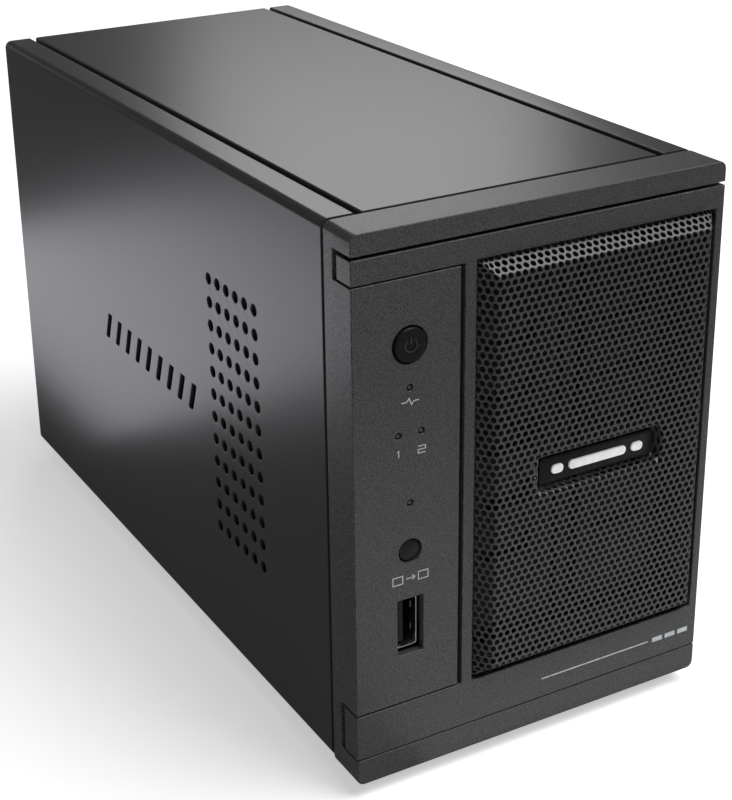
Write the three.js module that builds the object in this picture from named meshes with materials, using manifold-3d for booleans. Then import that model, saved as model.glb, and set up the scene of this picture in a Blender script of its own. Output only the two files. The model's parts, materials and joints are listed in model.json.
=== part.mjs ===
// A two-bay desktop network storage enclosure, about 101 x 222 x 142 mm.
// Millimetres, +Z up. The front faces -Y, and the origin is on the floor under the middle of the case.
import * as THREE from 'three';
import { mergeVertices } from 'three/addons/utils/BufferGeometryUtils.js';
import Module from 'manifold-3d';

const wasm = await Module();
wasm.setup();

// ---------------------------------------------------------------- driving dimensions

const WIDTH = 101;
const DEPTH = 222;
const HEIGHT = 142;
const FOOT_HEIGHT = 4;
const GAP = 0.3; // left between pieces that touch
const SHEET = 1; // steel sheet of the covers and the chassis

const SIDE = WIDTH / 2;
const BACK = DEPTH / 2;
const CROWN = 3.3; // how far the grille stands proud of the door
const FRONT = -DEPTH / 2 + CROWN; // front plane of the bezel and the door

// The two grooves along the top, between the top panel and the side covers
const GROOVE = { near: 40.4, far: 42, deep: 1.9 };

// Bezel
const BEZEL_BACK = FRONT + 11.8;
const BEZEL_CORNER = 1.8;
const COVER_FRONT = BEZEL_BACK + 1;
const NECK_BACK = COVER_FRONT + 1.3;
const NECK_SIDE = SIDE - SHEET - 0.4;
const NECK_BOTTOM = FOOT_HEIGHT + 2.1;
const NECK_TOP = HEIGHT - GROOVE.deep - GAP;
const NECK_WALL = { sides: 3, ends: 2 };
const BAY_MOUTH = { left: -19.6, right: 48.1, bottom: 23.8, top: 130.9 };
const BAR_WALL = 2.2; // left in front of the hollows behind the bezel's top and bottom bars
const TOP_BAR_HOLLOW = { left: -40, right: 46, bottom: 133.5, top: 138.5 };
const BOTTOM_BAR_HOLLOW = { left: -46, right: 46, bottom: 8.5, top: 20.5 };

// Door: a C-shaped frame whose two arms reach past the control pillar to the hinge
const DOOR_TOP = 136.2;
const DOOR_BOTTOM = 11.15;
const DOOR_THICK = 5.4;
const DOOR_BACK = FRONT + DOOR_THICK;
const POCKET_BACK = DOOR_BACK + 0.4;
const TOP_BAR_UNDERSIDE = 137;
const BOTTOM_BAR_TOP = DOOR_BOTTOM - GAP;
const DOOR_STRIP_LEFT = -21.7;
const WINDOW = { left: -18.7, right: 48.3, bottom: 23, top: 130.7 };
const DOOR_LIP = 1.1; // thickness of the lip in front of the grille's flange
const GRILLE_SEAT = { left: -20.1, right: 49.2, bottom: 21.6, top: 132.1 };
// Formed grille: a flange behind the door's lip, a crown with sloping sides and a pressed-in badge pocket
const GRILLE = { sheet: 0.8, recess: 1.4, slope: 4.1 };
const BADGE_POCKET = { left: -3.6, right: 33.5, bottom: 69.8, top: 80.3 };
const BADGE = { depth: 3, slope: 1.3 };
const LATCH = { x: 41, z: 133.7, wide: 8, tall: 3.2, thick: 1.5 };
const HINGE_BLOCK = 6.1;
const HINGE_X = -SIDE + HINGE_BLOCK / 2;
const HINGE_Y = FRONT + HINGE_BLOCK / 2;
const HINGE_SWING = 4.75; // radius kept clear behind the hinge
const PIN_RADIUS = 1;
const PIN_HOLE = 1.35;
const PIN_IN_BEZEL = 2.4;
const PIN_IN_DOOR = { top: 3.2, bottom: 3.7 };

// Control pillar, part of the bezel
const PILLAR_RIGHT = -22.8;
const PILLAR_BOTTOM = 23.45;
const PILLAR_TOP = 130.05;
const PILLAR_WALL = 2.2;
const PILLAR_HOLLOW = { left: -48.2, right: -25, bottom: 25.6, top: 127.9 };
const CONTROLS_X = -35.9;
const POWER = { z: 114.4, hole: 4.5, cap: 4.1, proud: 0.5 };
const BACKUP = { z: 63.5, hole: 3.05, cap: 2.7, proud: -0.5 };
const LIGHTS = {
  activity_light: { x: CONTROLS_X, z: 104.2 },
  disk_1_light: { x: CONTROLS_X - 3, z: 93.1 },
  disk_2_light: { x: CONTROLS_X + 3, z: 93.1 },
  backup_light: { x: CONTROLS_X, z: 75.8 },
};
const LIGHT_HOLE = 0.85;
const LIGHT_ROD = 0.55;
const FRONT_USB = { z: 43.7, wide: 6.9, tall: 14.8 };
const USB = { thick: 5.7, wide: 13.1, wall: 0.4, deep: 14 };

// Case
const BEND = 2; // outer radius of the covers' folded corners
const COVER_BOTTOM = FOOT_HEIGHT + 0.7;
const CHASSIS_SIDE = 48.2;
const CHASSIS_BOTTOM = COVER_BOTTOM + SHEET + 0.5;
const CHASSIS_TOP = HEIGHT - GROOVE.deep - GAP;
const CHASSIS_FRONT = NECK_BACK + GAP;
const PANEL_FRONT = 107.6; // inner face of the rear panel
const PANEL_THICK = 1.2;
const PANEL_BACK = PANEL_FRONT + PANEL_THICK;
const CHASSIS_BACK = PANEL_FRONT - GAP;
const CHASSIS_VENT_WINDOW = { front: -66, back: -30, bottom: 34, top: 115 };
const CHASSIS_SLOT_WINDOW = { front: -26, back: 43, bottom: 64, top: 80 };
const VENT = { columns: 6, rows: 12, y: -35.2, z: 109.6, stepY: -5.06, stepZ: -6.32, radius: 1.5 };
const SLOTS = { count: 9, y: 37, stepY: -7.3, z: 72, tall: 8.2, wide: 2.6, lean: 1.6 };

// Drive bays
const CAGE = { left: -20.4, right: 46.9, front: CHASSIS_FRONT + GAP, back: 58, top: 131.6, shelf: 24.2 };
const BAY_WIDTH = 32.2;
const TRAY = { wide: 31.4, bottom: 24.6, top: 130.1, front: -95.9, back: 52, rail: 1.6 };
const DISK = { thick: 26.1, tall: 101.6, long: 147, front: -90, step: 4, stepLong: 30, stepEnds: 6 };
const HANDLE = { thick: 2.4, bottom: 30, top: 124, wide: 24 };
const HANDLE_Y = TRAY.front - GAP - HANDLE.thick;
const BACKPLANE = { front: 62.6, thick: 1.6, bottom: 30, top: 125 };
const DISK_SOCKET = { wide: 7, deep: 5, bottom: 48, top: 90 };

// Cooling and rear connectors
const FAN = { x: 11.5, z: 85, size: 70, deep: 15, bore: 33, hub: 13, screw: 30.75, screwHole: 2.1 };
const FAN_FRONT = CHASSIS_BACK - FAN.deep;
const GUARD = { wire: 1.1, disc: 3.6, firstRing: 8, pitch: 4.9, rings: 6 };
const BOARD = { inner: -43, thick: 1.6, front: -60, back: 106.5, bottom: 12, top: 128 };
const HEATSINK = { front: -10, back: 30, bottom: 56, top: 96, base: 2, high: 12, fins: 8 };
const PORT_BASE = BOARD.inner + GAP;
const PORT_BACK = PANEL_BACK + 0.3;
const ETHERNET = { z: 28, wide: 16, high: 13.5, deep: 21 };
const ETHERNET_SOCKET = { wide: 11.8, low: 2.2, high: 10.2, deep: 13 };
const REAR_USB = { z: [50.5, 68.5] };
const POWER_INLET = { z: 89, wide: 11, high: 10, deep: 14, hole: 3.1, pin: 1 };
const RESET = { x: PORT_BASE + 4.7, z: 105, radius: 1.2, hole: 1.65 };
const LOCK_SLOT = { x: -38, z: 121, wide: 3, tall: 7 };
const FOOT = { x: 34, front: -84, back: 94, radius: 6.5 };

// ---------------------------------------------------------------- materials

function material(color, roughness, metalness = 0) {
  return new THREE.MeshStandardMaterial({ color, roughness, metalness });
}

const COVER_PAINT = [0x6b6c6e, 0.42, 0.45];
const BARE_STEEL = [0xa9adb0, 0.38, 0.9];
const BEZEL_PLASTIC = [0x434343, 0.7];
const BLACK_PLASTIC = [0x151516, 0.45];
const BLACK_MESH = [0x1d1d1e, 0.4, 0.5];
const BRIGHT_METAL = [0xd4d6d8, 0.22, 1];
const CIRCUIT_GREEN = [0x1f5a38, 0.55];
const DISK_METAL = [0xb4b7ba, 0.45, 0.8];
const CLEAR_PLASTIC = [0xdfe4e6, 0.2];
const SOFT_RUBBER = [0x1b1b1b, 0.9];
const BADGE_BLACK = [0x101014, 0.35];

// ---------------------------------------------------------------- solid helpers

function solid(geometry) {
  const bare = geometry.index ? geometry.clone() : geometry;
  bare.deleteAttribute('normal');
  bare.deleteAttribute('uv');
  const merged = mergeVertices(bare, 1e-4);
  return new wasm.Manifold(new wasm.Mesh({
    numProp: 3,
    vertProperties: new Float32Array(merged.attributes.position.array),
    triVerts: new Uint32Array(merged.index.array),
  }));
}

function geometryOf(manifold) {
  const mesh = manifold.getMesh();
  const geometry = new THREE.BufferGeometry();
  geometry.setAttribute('position', new THREE.BufferAttribute(new Float32Array(mesh.vertProperties), 3));
  geometry.setIndex(new THREE.BufferAttribute(new Uint32Array(mesh.triVerts), 1));
  return geometry;
}

function join(...pieces) {
  return pieces.reduce((whole, piece) => whole.add(piece));
}

function cut(whole, ...tools) {
  return tools.reduce((rest, tool) => rest.subtract(tool), whole);
}

function box(x0, x1, y0, y1, z0, z1) {
  const geometry = new THREE.BoxGeometry(x1 - x0, y1 - y0, z1 - z0);
  geometry.translate((x0 + x1) / 2, (y0 + y1) / 2, (z0 + z1) / 2);
  return solid(geometry);
}

// A box whose face in X and Z is a rectangle given by its edges.
function slab({ left, right, bottom, top }, y0, y1) {
  return box(left, right, y0, y1, bottom, top);
}

function shapeOf(points) {
  return new THREE.Shape(points.map(([a, b]) => new THREE.Vector2(a, b)));
}

function arc(a, b, radius, from, to, steps) {
  return Array.from({ length: steps + 1 }, (_, i) => {
    const angle = THREE.MathUtils.degToRad(from + ((to - from) * i) / steps);
    return [a + radius * Math.cos(angle), b + radius * Math.sin(angle)];
  });
}

function roundedPoints(a0, a1, b0, b1, radius, steps = 3) {
  return [
    ...arc(a1 - radius, b0 + radius, radius, -90, 0, steps),
    ...arc(a1 - radius, b1 - radius, radius, 0, 90, steps),
    ...arc(a0 + radius, b1 - radius, radius, 90, 180, steps),
    ...arc(a0 + radius, b0 + radius, radius, 180, 270, steps),
  ];
}

// Extrudes a shape drawn in X and Z along Y.
function alongY(points, y0, y1) {
  const geometry = new THREE.ExtrudeGeometry(shapeOf(points), { depth: y1 - y0, bevelEnabled: false });
  geometry.rotateX(Math.PI / 2);
  geometry.translate(0, y1, 0);
  return solid(geometry);
}

// Extrudes a shape drawn in Y and Z along X.
function alongX(points, x0, x1) {
  const geometry = new THREE.ExtrudeGeometry(shapeOf(points), { depth: x1 - x0, bevelEnabled: false });
  geometry.rotateX(Math.PI / 2);
  geometry.rotateZ(Math.PI / 2);
  geometry.translate(x0, 0, 0);
  return solid(geometry);
}

function rodY(x, z, radius, y0, y1, sides) {
  return alongY(arc(x, z, radius, 0, 360 - 360 / sides, sides - 1), y0, y1);
}

function rodZ(x, y, radius, z0, z1, sides) {
  const geometry = new THREE.CylinderGeometry(radius, radius, z1 - z0, sides);
  geometry.rotateX(Math.PI / 2);
  geometry.translate(x, y, (z0 + z1) / 2);
  return solid(geometry);
}

// A block whose front face (at y0) and back face (at y1) are different rectangles in X and Z.
function taper(front, y0, back, y1) {
  const corners = (r, y) => [
    [r.left, y, r.bottom], [r.right, y, r.bottom], [r.right, y, r.top], [r.left, y, r.top],
  ];
  const geometry = new THREE.BufferGeometry();
  const places = [...corners(front, y0), ...corners(back, y1)].flat();
  geometry.setAttribute('position', new THREE.BufferAttribute(new Float32Array(places), 3));
  const sides = [0, 1, 2, 3].flatMap((i) => {
    const next = (i + 1) % 4;
    return [i, i + 4, next + 4, i, next + 4, next];
  });
  geometry.setIndex([0, 1, 2, 0, 2, 3, 4, 6, 5, 4, 7, 6, ...sides]);
  return solid(geometry);
}

function inset(rectangle, by) {
  return {
    left: rectangle.left + by,
    right: rectangle.right - by,
    bottom: rectangle.bottom + by,
    top: rectangle.top - by,
  };
}

const model = new THREE.Group();

function add(name, manifold, [color, roughness, metalness], group = model) {
  const mesh = new THREE.Mesh(geometryOf(manifold), material(color, roughness, metalness));
  mesh.name = name;
  group.add(mesh);
  return mesh;
}

// ---------------------------------------------------------------- bezel with its control pillar

function bezelFrame() {
  const block = alongY(
    roundedPoints(-SIDE, SIDE, FOOT_HEIGHT, HEIGHT, BEZEL_CORNER),
    FRONT,
    BEZEL_BACK,
  );
  const neck = cut(
    box(-NECK_SIDE, NECK_SIDE, BEZEL_BACK - 0.5, NECK_BACK, NECK_BOTTOM, NECK_TOP),
    box(
      NECK_WALL.sides - NECK_SIDE, NECK_SIDE - NECK_WALL.sides, BEZEL_BACK - 1, NECK_BACK + 1,
      NECK_BOTTOM + NECK_WALL.ends, NECK_TOP - NECK_WALL.ends,
    ),
  );
  const doorPocket = cut(
    box(-SIDE - 1, SIDE + 1, FRONT - 1, POCKET_BACK, BOTTOM_BAR_TOP, TOP_BAR_UNDERSIDE),
    box(-SIDE - 2, PILLAR_RIGHT, FRONT - 2, POCKET_BACK + 1, PILLAR_BOTTOM, PILLAR_TOP),
  );
  const hingeReach = HINGE_X + HINGE_SWING;
  const hingeBack = HINGE_Y + HINGE_SWING;
  return cut(
    join(block, neck),
    doorPocket,
    box(-SIDE - 1, hingeReach, FRONT, hingeBack, PILLAR_TOP, TOP_BAR_UNDERSIDE),
    box(-SIDE - 1, hingeReach, FRONT, hingeBack, BOTTOM_BAR_TOP, PILLAR_BOTTOM),
    slab(BAY_MOUTH, FRONT, NECK_BACK + 1),
    slab(PILLAR_HOLLOW, FRONT + PILLAR_WALL, NECK_BACK + 1),
    slab(TOP_BAR_HOLLOW, BEZEL_BACK - BAR_WALL, NECK_BACK + 1),
    slab(BOTTOM_BAR_HOLLOW, BEZEL_BACK - BAR_WALL, NECK_BACK + 1),
    rodZ(HINGE_X, HINGE_Y, PIN_HOLE, TOP_BAR_UNDERSIDE - 1, TOP_BAR_UNDERSIDE + PIN_IN_BEZEL + GAP, 12),
    rodZ(HINGE_X, HINGE_Y, PIN_HOLE, BOTTOM_BAR_TOP - PIN_IN_BEZEL - GAP, BOTTOM_BAR_TOP + 1, 12),
    rodY(CONTROLS_X, POWER.z, POWER.hole, FRONT - 1, FRONT + 4, 32),
    rodY(CONTROLS_X, BACKUP.z, BACKUP.hole, FRONT - 1, FRONT + 4, 24),
    box(
      CONTROLS_X - FRONT_USB.wide / 2, CONTROLS_X + FRONT_USB.wide / 2, FRONT - 1, FRONT + 4,
      FRONT_USB.z - FRONT_USB.tall / 2, FRONT_USB.z + FRONT_USB.tall / 2,
    ),
    strikeBlock(GAP),
    ...Object.values(LIGHTS).map(({ x, z }) => rodY(x, z, LIGHT_HOLE, FRONT - 1, FRONT + 4, 12)),
  );
}

// A steel plate let into the bezel, and the door's magnet that meets it
function latchBlock(y0, spare) {
  return box(
    LATCH.x - LATCH.wide / 2 - spare, LATCH.x + LATCH.wide / 2 + spare,
    y0 - spare, y0 + LATCH.thick + spare,
    LATCH.z - LATCH.tall / 2 - spare, LATCH.z + LATCH.tall / 2 + spare,
  );
}

function strikeBlock(spare) {
  return latchBlock(POCKET_BACK + 0.05, spare);
}

function magnetBlock(spare) {
  return latchBlock(DOOR_BACK - LATCH.thick - 0.05, spare);
}

add('bezel_frame', bezelFrame(), BEZEL_PLASTIC);
add('strike_plate', strikeBlock(0), BARE_STEEL);

// ---------------------------------------------------------------- door

function doorFrame() {
  const armTop = PILLAR_TOP + 0.4;
  const armBottom = PILLAR_BOTTOM - 0.4;
  const outline = [
    [-SIDE, DOOR_BOTTOM], [SIDE, DOOR_BOTTOM], [SIDE, DOOR_TOP], [-SIDE, DOOR_TOP],
    [-SIDE, armTop], [DOOR_STRIP_LEFT, armTop], [DOOR_STRIP_LEFT, armBottom], [-SIDE, armBottom],
  ];
  const blockRight = -SIDE + HINGE_BLOCK;
  const blockBack = FRONT + HINGE_BLOCK;
  return cut(
    join(
      alongY(outline, FRONT, DOOR_BACK),
      box(-SIDE, blockRight, FRONT, blockBack, armTop, DOOR_TOP),
      box(-SIDE, blockRight, FRONT, blockBack, DOOR_BOTTOM, armBottom),
    ),
    slab(WINDOW, FRONT - 1, DOOR_BACK + 1),
    slab(GRILLE_SEAT, FRONT + DOOR_LIP, DOOR_BACK + 1),
    rodZ(HINGE_X, HINGE_Y, PIN_HOLE, DOOR_TOP - PIN_IN_DOOR.top - GAP, DOOR_TOP + 1, 12),
    rodZ(HINGE_X, HINGE_Y, PIN_HOLE, DOOR_BOTTOM - 1, DOOR_BOTTOM + PIN_IN_DOOR.bottom + GAP, 12),
    magnetBlock(GAP),
  );
}

function doorGrille() {
  const crownFace = -DEPTH / 2;
  const base = FRONT + GRILLE.recess;
  const foot = inset(WINDOW, 0.3);
  const face = inset(foot, GRILLE.slope - 0.3);
  const inside = base + GRILLE.sheet;
  const floor = inset(BADGE_POCKET, BADGE.slope);
  const shell = cut(
    join(
      slab(inset(GRILLE_SEAT, GAP), base, inside),
      taper(face, crownFace, foot, base + 0.1),
    ),
    taper(inset(face, 0.35), crownFace + GRILLE.sheet, inset(foot, 0.8), inside + 0.2),
  );
  return cut(
    join(
      shell,
      taper(
        inset(BADGE_POCKET, -0.8), crownFace + 0.1,
        inset(floor, -0.7), crownFace + BADGE.depth + GRILLE.sheet,
      ),
    ),
    taper(BADGE_POCKET, crownFace - 0.02, floor, crownFace + BADGE.depth),
  );
}

function badgePlate() {
  const plate = inset(BADGE_POCKET, BADGE.slope + 0.6);
  const back = -DEPTH / 2 + BADGE.depth - GAP;
  return alongY(roundedPoints(plate.left, plate.right, plate.bottom, plate.top, 1), back - 0.9, back);
}

function hingePin(z0, z1) {
  return rodZ(HINGE_X, HINGE_Y, PIN_RADIUS, z0, z1, 12);
}

add('door_frame', doorFrame(), BEZEL_PLASTIC);
add('door_grille', doorGrille(), BLACK_MESH);
add('badge_plate', badgePlate(), BADGE_BLACK);
add('door_magnet', magnetBlock(0), BRIGHT_METAL);
add('hinge_pin_top', hingePin(DOOR_TOP - PIN_IN_DOOR.top, TOP_BAR_UNDERSIDE + PIN_IN_BEZEL), BARE_STEEL);
add(
  'hinge_pin_bottom',
  hingePin(BOTTOM_BAR_TOP - PIN_IN_BEZEL, DOOR_BOTTOM + PIN_IN_DOOR.bottom),
  BARE_STEEL,
);

// ---------------------------------------------------------------- control pillar contents

const WALL_BACK = FRONT + PILLAR_WALL;
const FRONT_BOARD = { y: FRONT + 8.4, thick: 1.6 };

function button({ z, hole, cap, proud }) {
  const sides = 16;
  return join(
    rodY(CONTROLS_X, z, cap, FRONT - proud, WALL_BACK + 0.5, sides),
    rodY(CONTROLS_X, z, hole + 0.7, WALL_BACK + GAP, WALL_BACK + 1.1, sides),
    rodY(CONTROLS_X, z, 1.4, WALL_BACK + 1, WALL_BACK + 1.6, 8),
  );
}

function tactSwitch(z) {
  return join(
    box(CONTROLS_X - 3, CONTROLS_X + 3, FRONT_BOARD.y - 2.6, FRONT_BOARD.y - GAP, z - 3, z + 3),
    rodY(CONTROLS_X, z, 1.6, WALL_BACK + 2.8, FRONT_BOARD.y - 2.5, 10),
  );
}

function frontBoard() {
  return cut(
    box(-46.5, -26.5, FRONT_BOARD.y, FRONT_BOARD.y + FRONT_BOARD.thick, 30, 124),
    box(
      CONTROLS_X - USB.thick / 2 - 0.5, CONTROLS_X + USB.thick / 2 + 0.5,
      FRONT_BOARD.y - 1, FRONT_BOARD.y + 3,
      FRONT_USB.z - USB.wide / 2 - 0.5, FRONT_USB.z + USB.wide / 2 + 0.5,
    ),
  );
}

// A USB type A receptacle's steel shell, with its mouth at the given y and running the way of dir.
function usbShell(x, z, mouth, dir) {
  const ends = [mouth, mouth + dir * USB.deep].sort((a, b) => a - b);
  const openEnds = [mouth - dir, mouth + dir * (USB.deep - 1)].sort((a, b) => a - b);
  const half = { x: USB.thick / 2, z: USB.wide / 2 };
  return cut(
    box(x - half.x, x + half.x, ...ends, z - half.z, z + half.z),
    box(
      x - half.x + USB.wall, x + half.x - USB.wall, ...openEnds,
      z - half.z + USB.wall, z + half.z - USB.wall,
    ),
  );
}

function usbTongue(x, z, mouth, dir) {
  const ends = [mouth + dir * 1.2, mouth + dir * (USB.deep - 1 - GAP)].sort((a, b) => a - b);
  return box(x - 1.9, x - 0.1, ...ends, z - 5.5, z + 5.5);
}

const FRONT_USB_MOUTH = FRONT + 1.9;

add('power_button', button(POWER), BLACK_PLASTIC);
add('backup_button', button(BACKUP), BLACK_PLASTIC);
add('power_switch', tactSwitch(POWER.z), BLACK_PLASTIC);
add('backup_switch', tactSwitch(BACKUP.z), BLACK_PLASTIC);
add('front_board', frontBoard(), CIRCUIT_GREEN);
add('front_usb_shell', usbShell(CONTROLS_X, FRONT_USB.z, FRONT_USB_MOUTH, 1), BRIGHT_METAL);
add('front_usb_tongue', usbTongue(CONTROLS_X, FRONT_USB.z, FRONT_USB_MOUTH, 1), BLACK_PLASTIC);
for (const [name, { x, z }] of Object.entries(LIGHTS)) {
  add(name, rodY(x, z, LIGHT_ROD, FRONT + 0.2, FRONT_BOARD.y - 0.6, 8), CLEAR_PLASTIC);
}

// ---------------------------------------------------------------- covers, top panel and chassis

// One side cover is a folded channel: a wall with a top strip and a bottom strip turned inwards.
function sideCover(side) {
  const inner = BEND - SHEET;
  const lipEnd = HEIGHT - GROOVE.deep + 0.2;
  const bottomEnd = SIDE - 8.5;
  const right = [
    [GROOVE.far, HEIGHT],
    ...arc(SIDE - BEND, HEIGHT - BEND, BEND, 90, 0, 3),
    ...arc(SIDE - BEND, COVER_BOTTOM + BEND, BEND, 0, -90, 3),
    [bottomEnd, COVER_BOTTOM],
    [bottomEnd, COVER_BOTTOM + SHEET],
    ...arc(SIDE - BEND, COVER_BOTTOM + BEND, inner, -90, 0, 3),
    ...arc(SIDE - BEND, HEIGHT - BEND, inner, 0, 90, 3),
    [GROOVE.far + SHEET, HEIGHT - SHEET],
    [GROOVE.far + SHEET, lipEnd],
    [GROOVE.far, lipEnd],
  ];
  const channel = alongY(right.map(([x, z]) => [side * x, z]), COVER_FRONT, BACK);
  const wall = [side * (SIDE - 3), side * (SIDE + 1)].sort((a, b) => a - b);
  const holes = [];
  for (let column = 0; column < VENT.columns; column += 1) {
    for (let row = 0; row < VENT.rows; row += 1) {
      const y = VENT.y + column * VENT.stepY;
      const z = VENT.z + row * VENT.stepZ;
      holes.push(alongX(arc(y, z, VENT.radius, 30, 330, 5), ...wall));
    }
  }
  for (let i = 0; i < SLOTS.count; i += 1) {
    const y = SLOTS.y + i * SLOTS.stepY;
    holes.push(alongX([
      [y - SLOTS.wide / 2 + SLOTS.lean, SLOTS.z - SLOTS.tall / 2],
      [y + SLOTS.wide / 2 + SLOTS.lean, SLOTS.z - SLOTS.tall / 2],
      [y + SLOTS.wide / 2 - SLOTS.lean, SLOTS.z + SLOTS.tall / 2],
      [y - SLOTS.wide / 2 - SLOTS.lean, SLOTS.z + SLOTS.tall / 2],
    ], ...wall));
  }
  return cut(channel, ...holes);
}

function topPanel() {
  const lip = HEIGHT - GROOVE.deep;
  const half = [
    [GROOVE.near, lip],
    ...arc(GROOVE.near - 1, HEIGHT - 1, 1, 0, 90, 2),
  ];
  const mirror = half.map(([x, z]) => [-x, z]).reverse();
  const outline = [
    ...half,
    ...mirror,
    [SHEET - GROOVE.near, lip],
    [SHEET - GROOVE.near, HEIGHT - SHEET],
    [GROOVE.near - SHEET, HEIGHT - SHEET],
    [GROOVE.near - SHEET, lip],
  ];
  return alongY(outline, COVER_FRONT, BACK);
}

function chassis() {
  const s = CHASSIS_SIDE;
  const flange = GROOVE.near - 3;
  const outline = [
    [-flange, CHASSIS_TOP], [-s, CHASSIS_TOP], [-s, CHASSIS_BOTTOM], [s, CHASSIS_BOTTOM], [s, CHASSIS_TOP],
    [flange, CHASSIS_TOP], [flange, CHASSIS_TOP - SHEET], [s - SHEET, CHASSIS_TOP - SHEET],
    [s - SHEET, CHASSIS_BOTTOM + SHEET], [SHEET - s, CHASSIS_BOTTOM + SHEET],
    [SHEET - s, CHASSIS_TOP - SHEET], [-flange, CHASSIS_TOP - SHEET],
  ];
  return cut(
    alongY(outline, CHASSIS_FRONT, CHASSIS_BACK),
    ...[CHASSIS_VENT_WINDOW, CHASSIS_SLOT_WINDOW].map(({ front, back, bottom, top }) => (
      box(-s - 1, s + 1, front, back, bottom, top)
    )),
  );
}

// The drive cage, with one bay for each tray standing on edge. Its walls reach down to the chassis floor.
function driveCage() {
  const { left, right, front, back, top, shelf } = CAGE;
  const foot = CHASSIS_BOTTOM + SHEET + GAP;
  const divider = left + SHEET + BAY_WIDTH;
  return join(
    box(left, left + SHEET, front, back, foot, top),
    box(right - SHEET, right, front, back, foot, top),
    box(left, right, front, back, top - SHEET, top),
    box(left, right, front, back, shelf - SHEET, shelf),
    box(divider, divider + 0.9, front, back, shelf - 0.5, top - 0.5),
  );
}

add('left_cover', sideCover(-1), COVER_PAINT);
add('right_cover', sideCover(1), COVER_PAINT);
add('top_panel', topPanel(), COVER_PAINT);
add('chassis', chassis(), COVER_PAINT);
add('drive_cage', driveCage(), BARE_STEEL);

// ---------------------------------------------------------------- drive trays, handles and disks

function tray(x0) {
  const x1 = x0 + TRAY.wide;
  const back = TRAY.front + 2;
  return join(
    box(x0, x1, TRAY.front, back, TRAY.bottom, TRAY.top),
    box(x0, x1, back - 0.5, TRAY.back, TRAY.bottom, TRAY.bottom + TRAY.rail),
    box(x0, x1, back - 0.5, TRAY.back, TRAY.top - TRAY.rail, TRAY.top),
    box(x0, x0 + SHEET, back - 0.5, TRAY.back, TRAY.bottom, TRAY.top),
  );
}

// A lever that lies on the tray's front, with finger slots and a pivot barrel at its foot
function trayHandle(x0) {
  const middle = x0 + TRAY.wide / 2;
  const left = middle - HANDLE.wide / 2;
  const right = middle + HANDLE.wide / 2;
  const barrel = alongX(
    arc(HANDLE_Y + HANDLE.thick / 2, HANDLE.bottom, HANDLE.thick / 2, 0, 330, 11),
    left,
    right,
  );
  const slots = [0, 1, 2, 3, 4].map((i) => {
    const z = HANDLE.bottom + 18 + i * 14;
    return box(left + 5, right - 5, HANDLE_Y - 1, HANDLE_Y + HANDLE.thick + 1, z, z + 6);
  });
  return cut(
    join(box(left, right, HANDLE_Y, HANDLE_Y + HANDLE.thick, HANDLE.bottom, HANDLE.top), barrel),
    ...slots,
  );
}

function hardDisk(x0) {
  const left = x0 + SHEET + 0.9;
  const bottom = TRAY.bottom + TRAY.rail + (TRAY.top - TRAY.bottom - 2 * TRAY.rail - DISK.tall) / 2;
  const top = bottom + DISK.tall;
  const end = DISK.front + DISK.long;
  return cut(
    box(left, left + DISK.thick, DISK.front, end, bottom, top),
    // step down to the electronics side
    box(
      left + DISK.thick - DISK.step, left + DISK.thick + 1, end - DISK.stepLong, end + 1,
      bottom + DISK.stepEnds, top - DISK.stepEnds,
    ),
  );
}

const BAY_LEFTS = [CAGE.left + SHEET + 0.4, CAGE.left + SHEET + BAY_WIDTH + 1.3];

function backplane() {
  const { front, thick, bottom, top } = BACKPLANE;
  return box(CAGE.left + 1, CAGE.right - 1, front, front + thick, bottom, top);
}

function diskSocket(x0) {
  const left = x0 + SHEET + 3;
  const back = BACKPLANE.front - GAP;
  const { wide, deep, bottom, top } = DISK_SOCKET;
  return box(left, left + wide, back - deep, back, bottom, top);
}

BAY_LEFTS.forEach((x0, i) => {
  add(`tray_${i + 1}`, tray(x0), BLACK_PLASTIC);
  add(`tray_handle_${i + 1}`, trayHandle(x0), BLACK_PLASTIC);
  add(`hard_disk_${i + 1}`, hardDisk(x0), DISK_METAL);
  add(`disk_socket_${i + 1}`, diskSocket(x0), BLACK_PLASTIC);
});
add('backplane', backplane(), CIRCUIT_GREEN);

// ---------------------------------------------------------------- rear panel and fan

function fanCorners() {
  return [-1, 1].flatMap((u) => [-1, 1].map((v) => [FAN.x + u * FAN.screw, FAN.z + v * FAN.screw]));
}

function rearPanel() {
  const front = PANEL_FRONT - 1;
  const back = PANEL_BACK + 1;
  const around = 0.4;
  const usbX = PORT_BASE + 1.2 + USB.thick / 2;
  return cut(
    box(-SIDE + 1.6, SIDE - 1.6, PANEL_FRONT, PANEL_BACK, CHASSIS_BOTTOM, HEIGHT - GROOVE.deep - GAP),
    rodY(FAN.x, FAN.z, FAN.bore, front, back, 32),
    ...fanCorners().map(([x, z]) => rodY(x, z, FAN.screwHole, front, back, 8)),
    box(
      PORT_BASE - around, PORT_BASE + ETHERNET.high + around, front, back,
      ETHERNET.z - ETHERNET.wide / 2 - around, ETHERNET.z + ETHERNET.wide / 2 + around,
    ),
    ...REAR_USB.z.map((z) => box(
      usbX - USB.thick / 2 - around, usbX + USB.thick / 2 + around, front, back,
      z - USB.wide / 2 - around, z + USB.wide / 2 + around,
    )),
    box(
      PORT_BASE - around, PORT_BASE + POWER_INLET.high + around, front, back,
      POWER_INLET.z - POWER_INLET.wide / 2 - around, POWER_INLET.z + POWER_INLET.wide / 2 + around,
    ),
    rodY(RESET.x, RESET.z, RESET.hole, front, back, 12),
    alongY(
      roundedPoints(
        LOCK_SLOT.x - LOCK_SLOT.wide / 2, LOCK_SLOT.x + LOCK_SLOT.wide / 2,
        LOCK_SLOT.z - LOCK_SLOT.tall / 2, LOCK_SLOT.z + LOCK_SLOT.tall / 2, 1, 2,
      ),
      front,
      back,
    ),
  );
}

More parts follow.
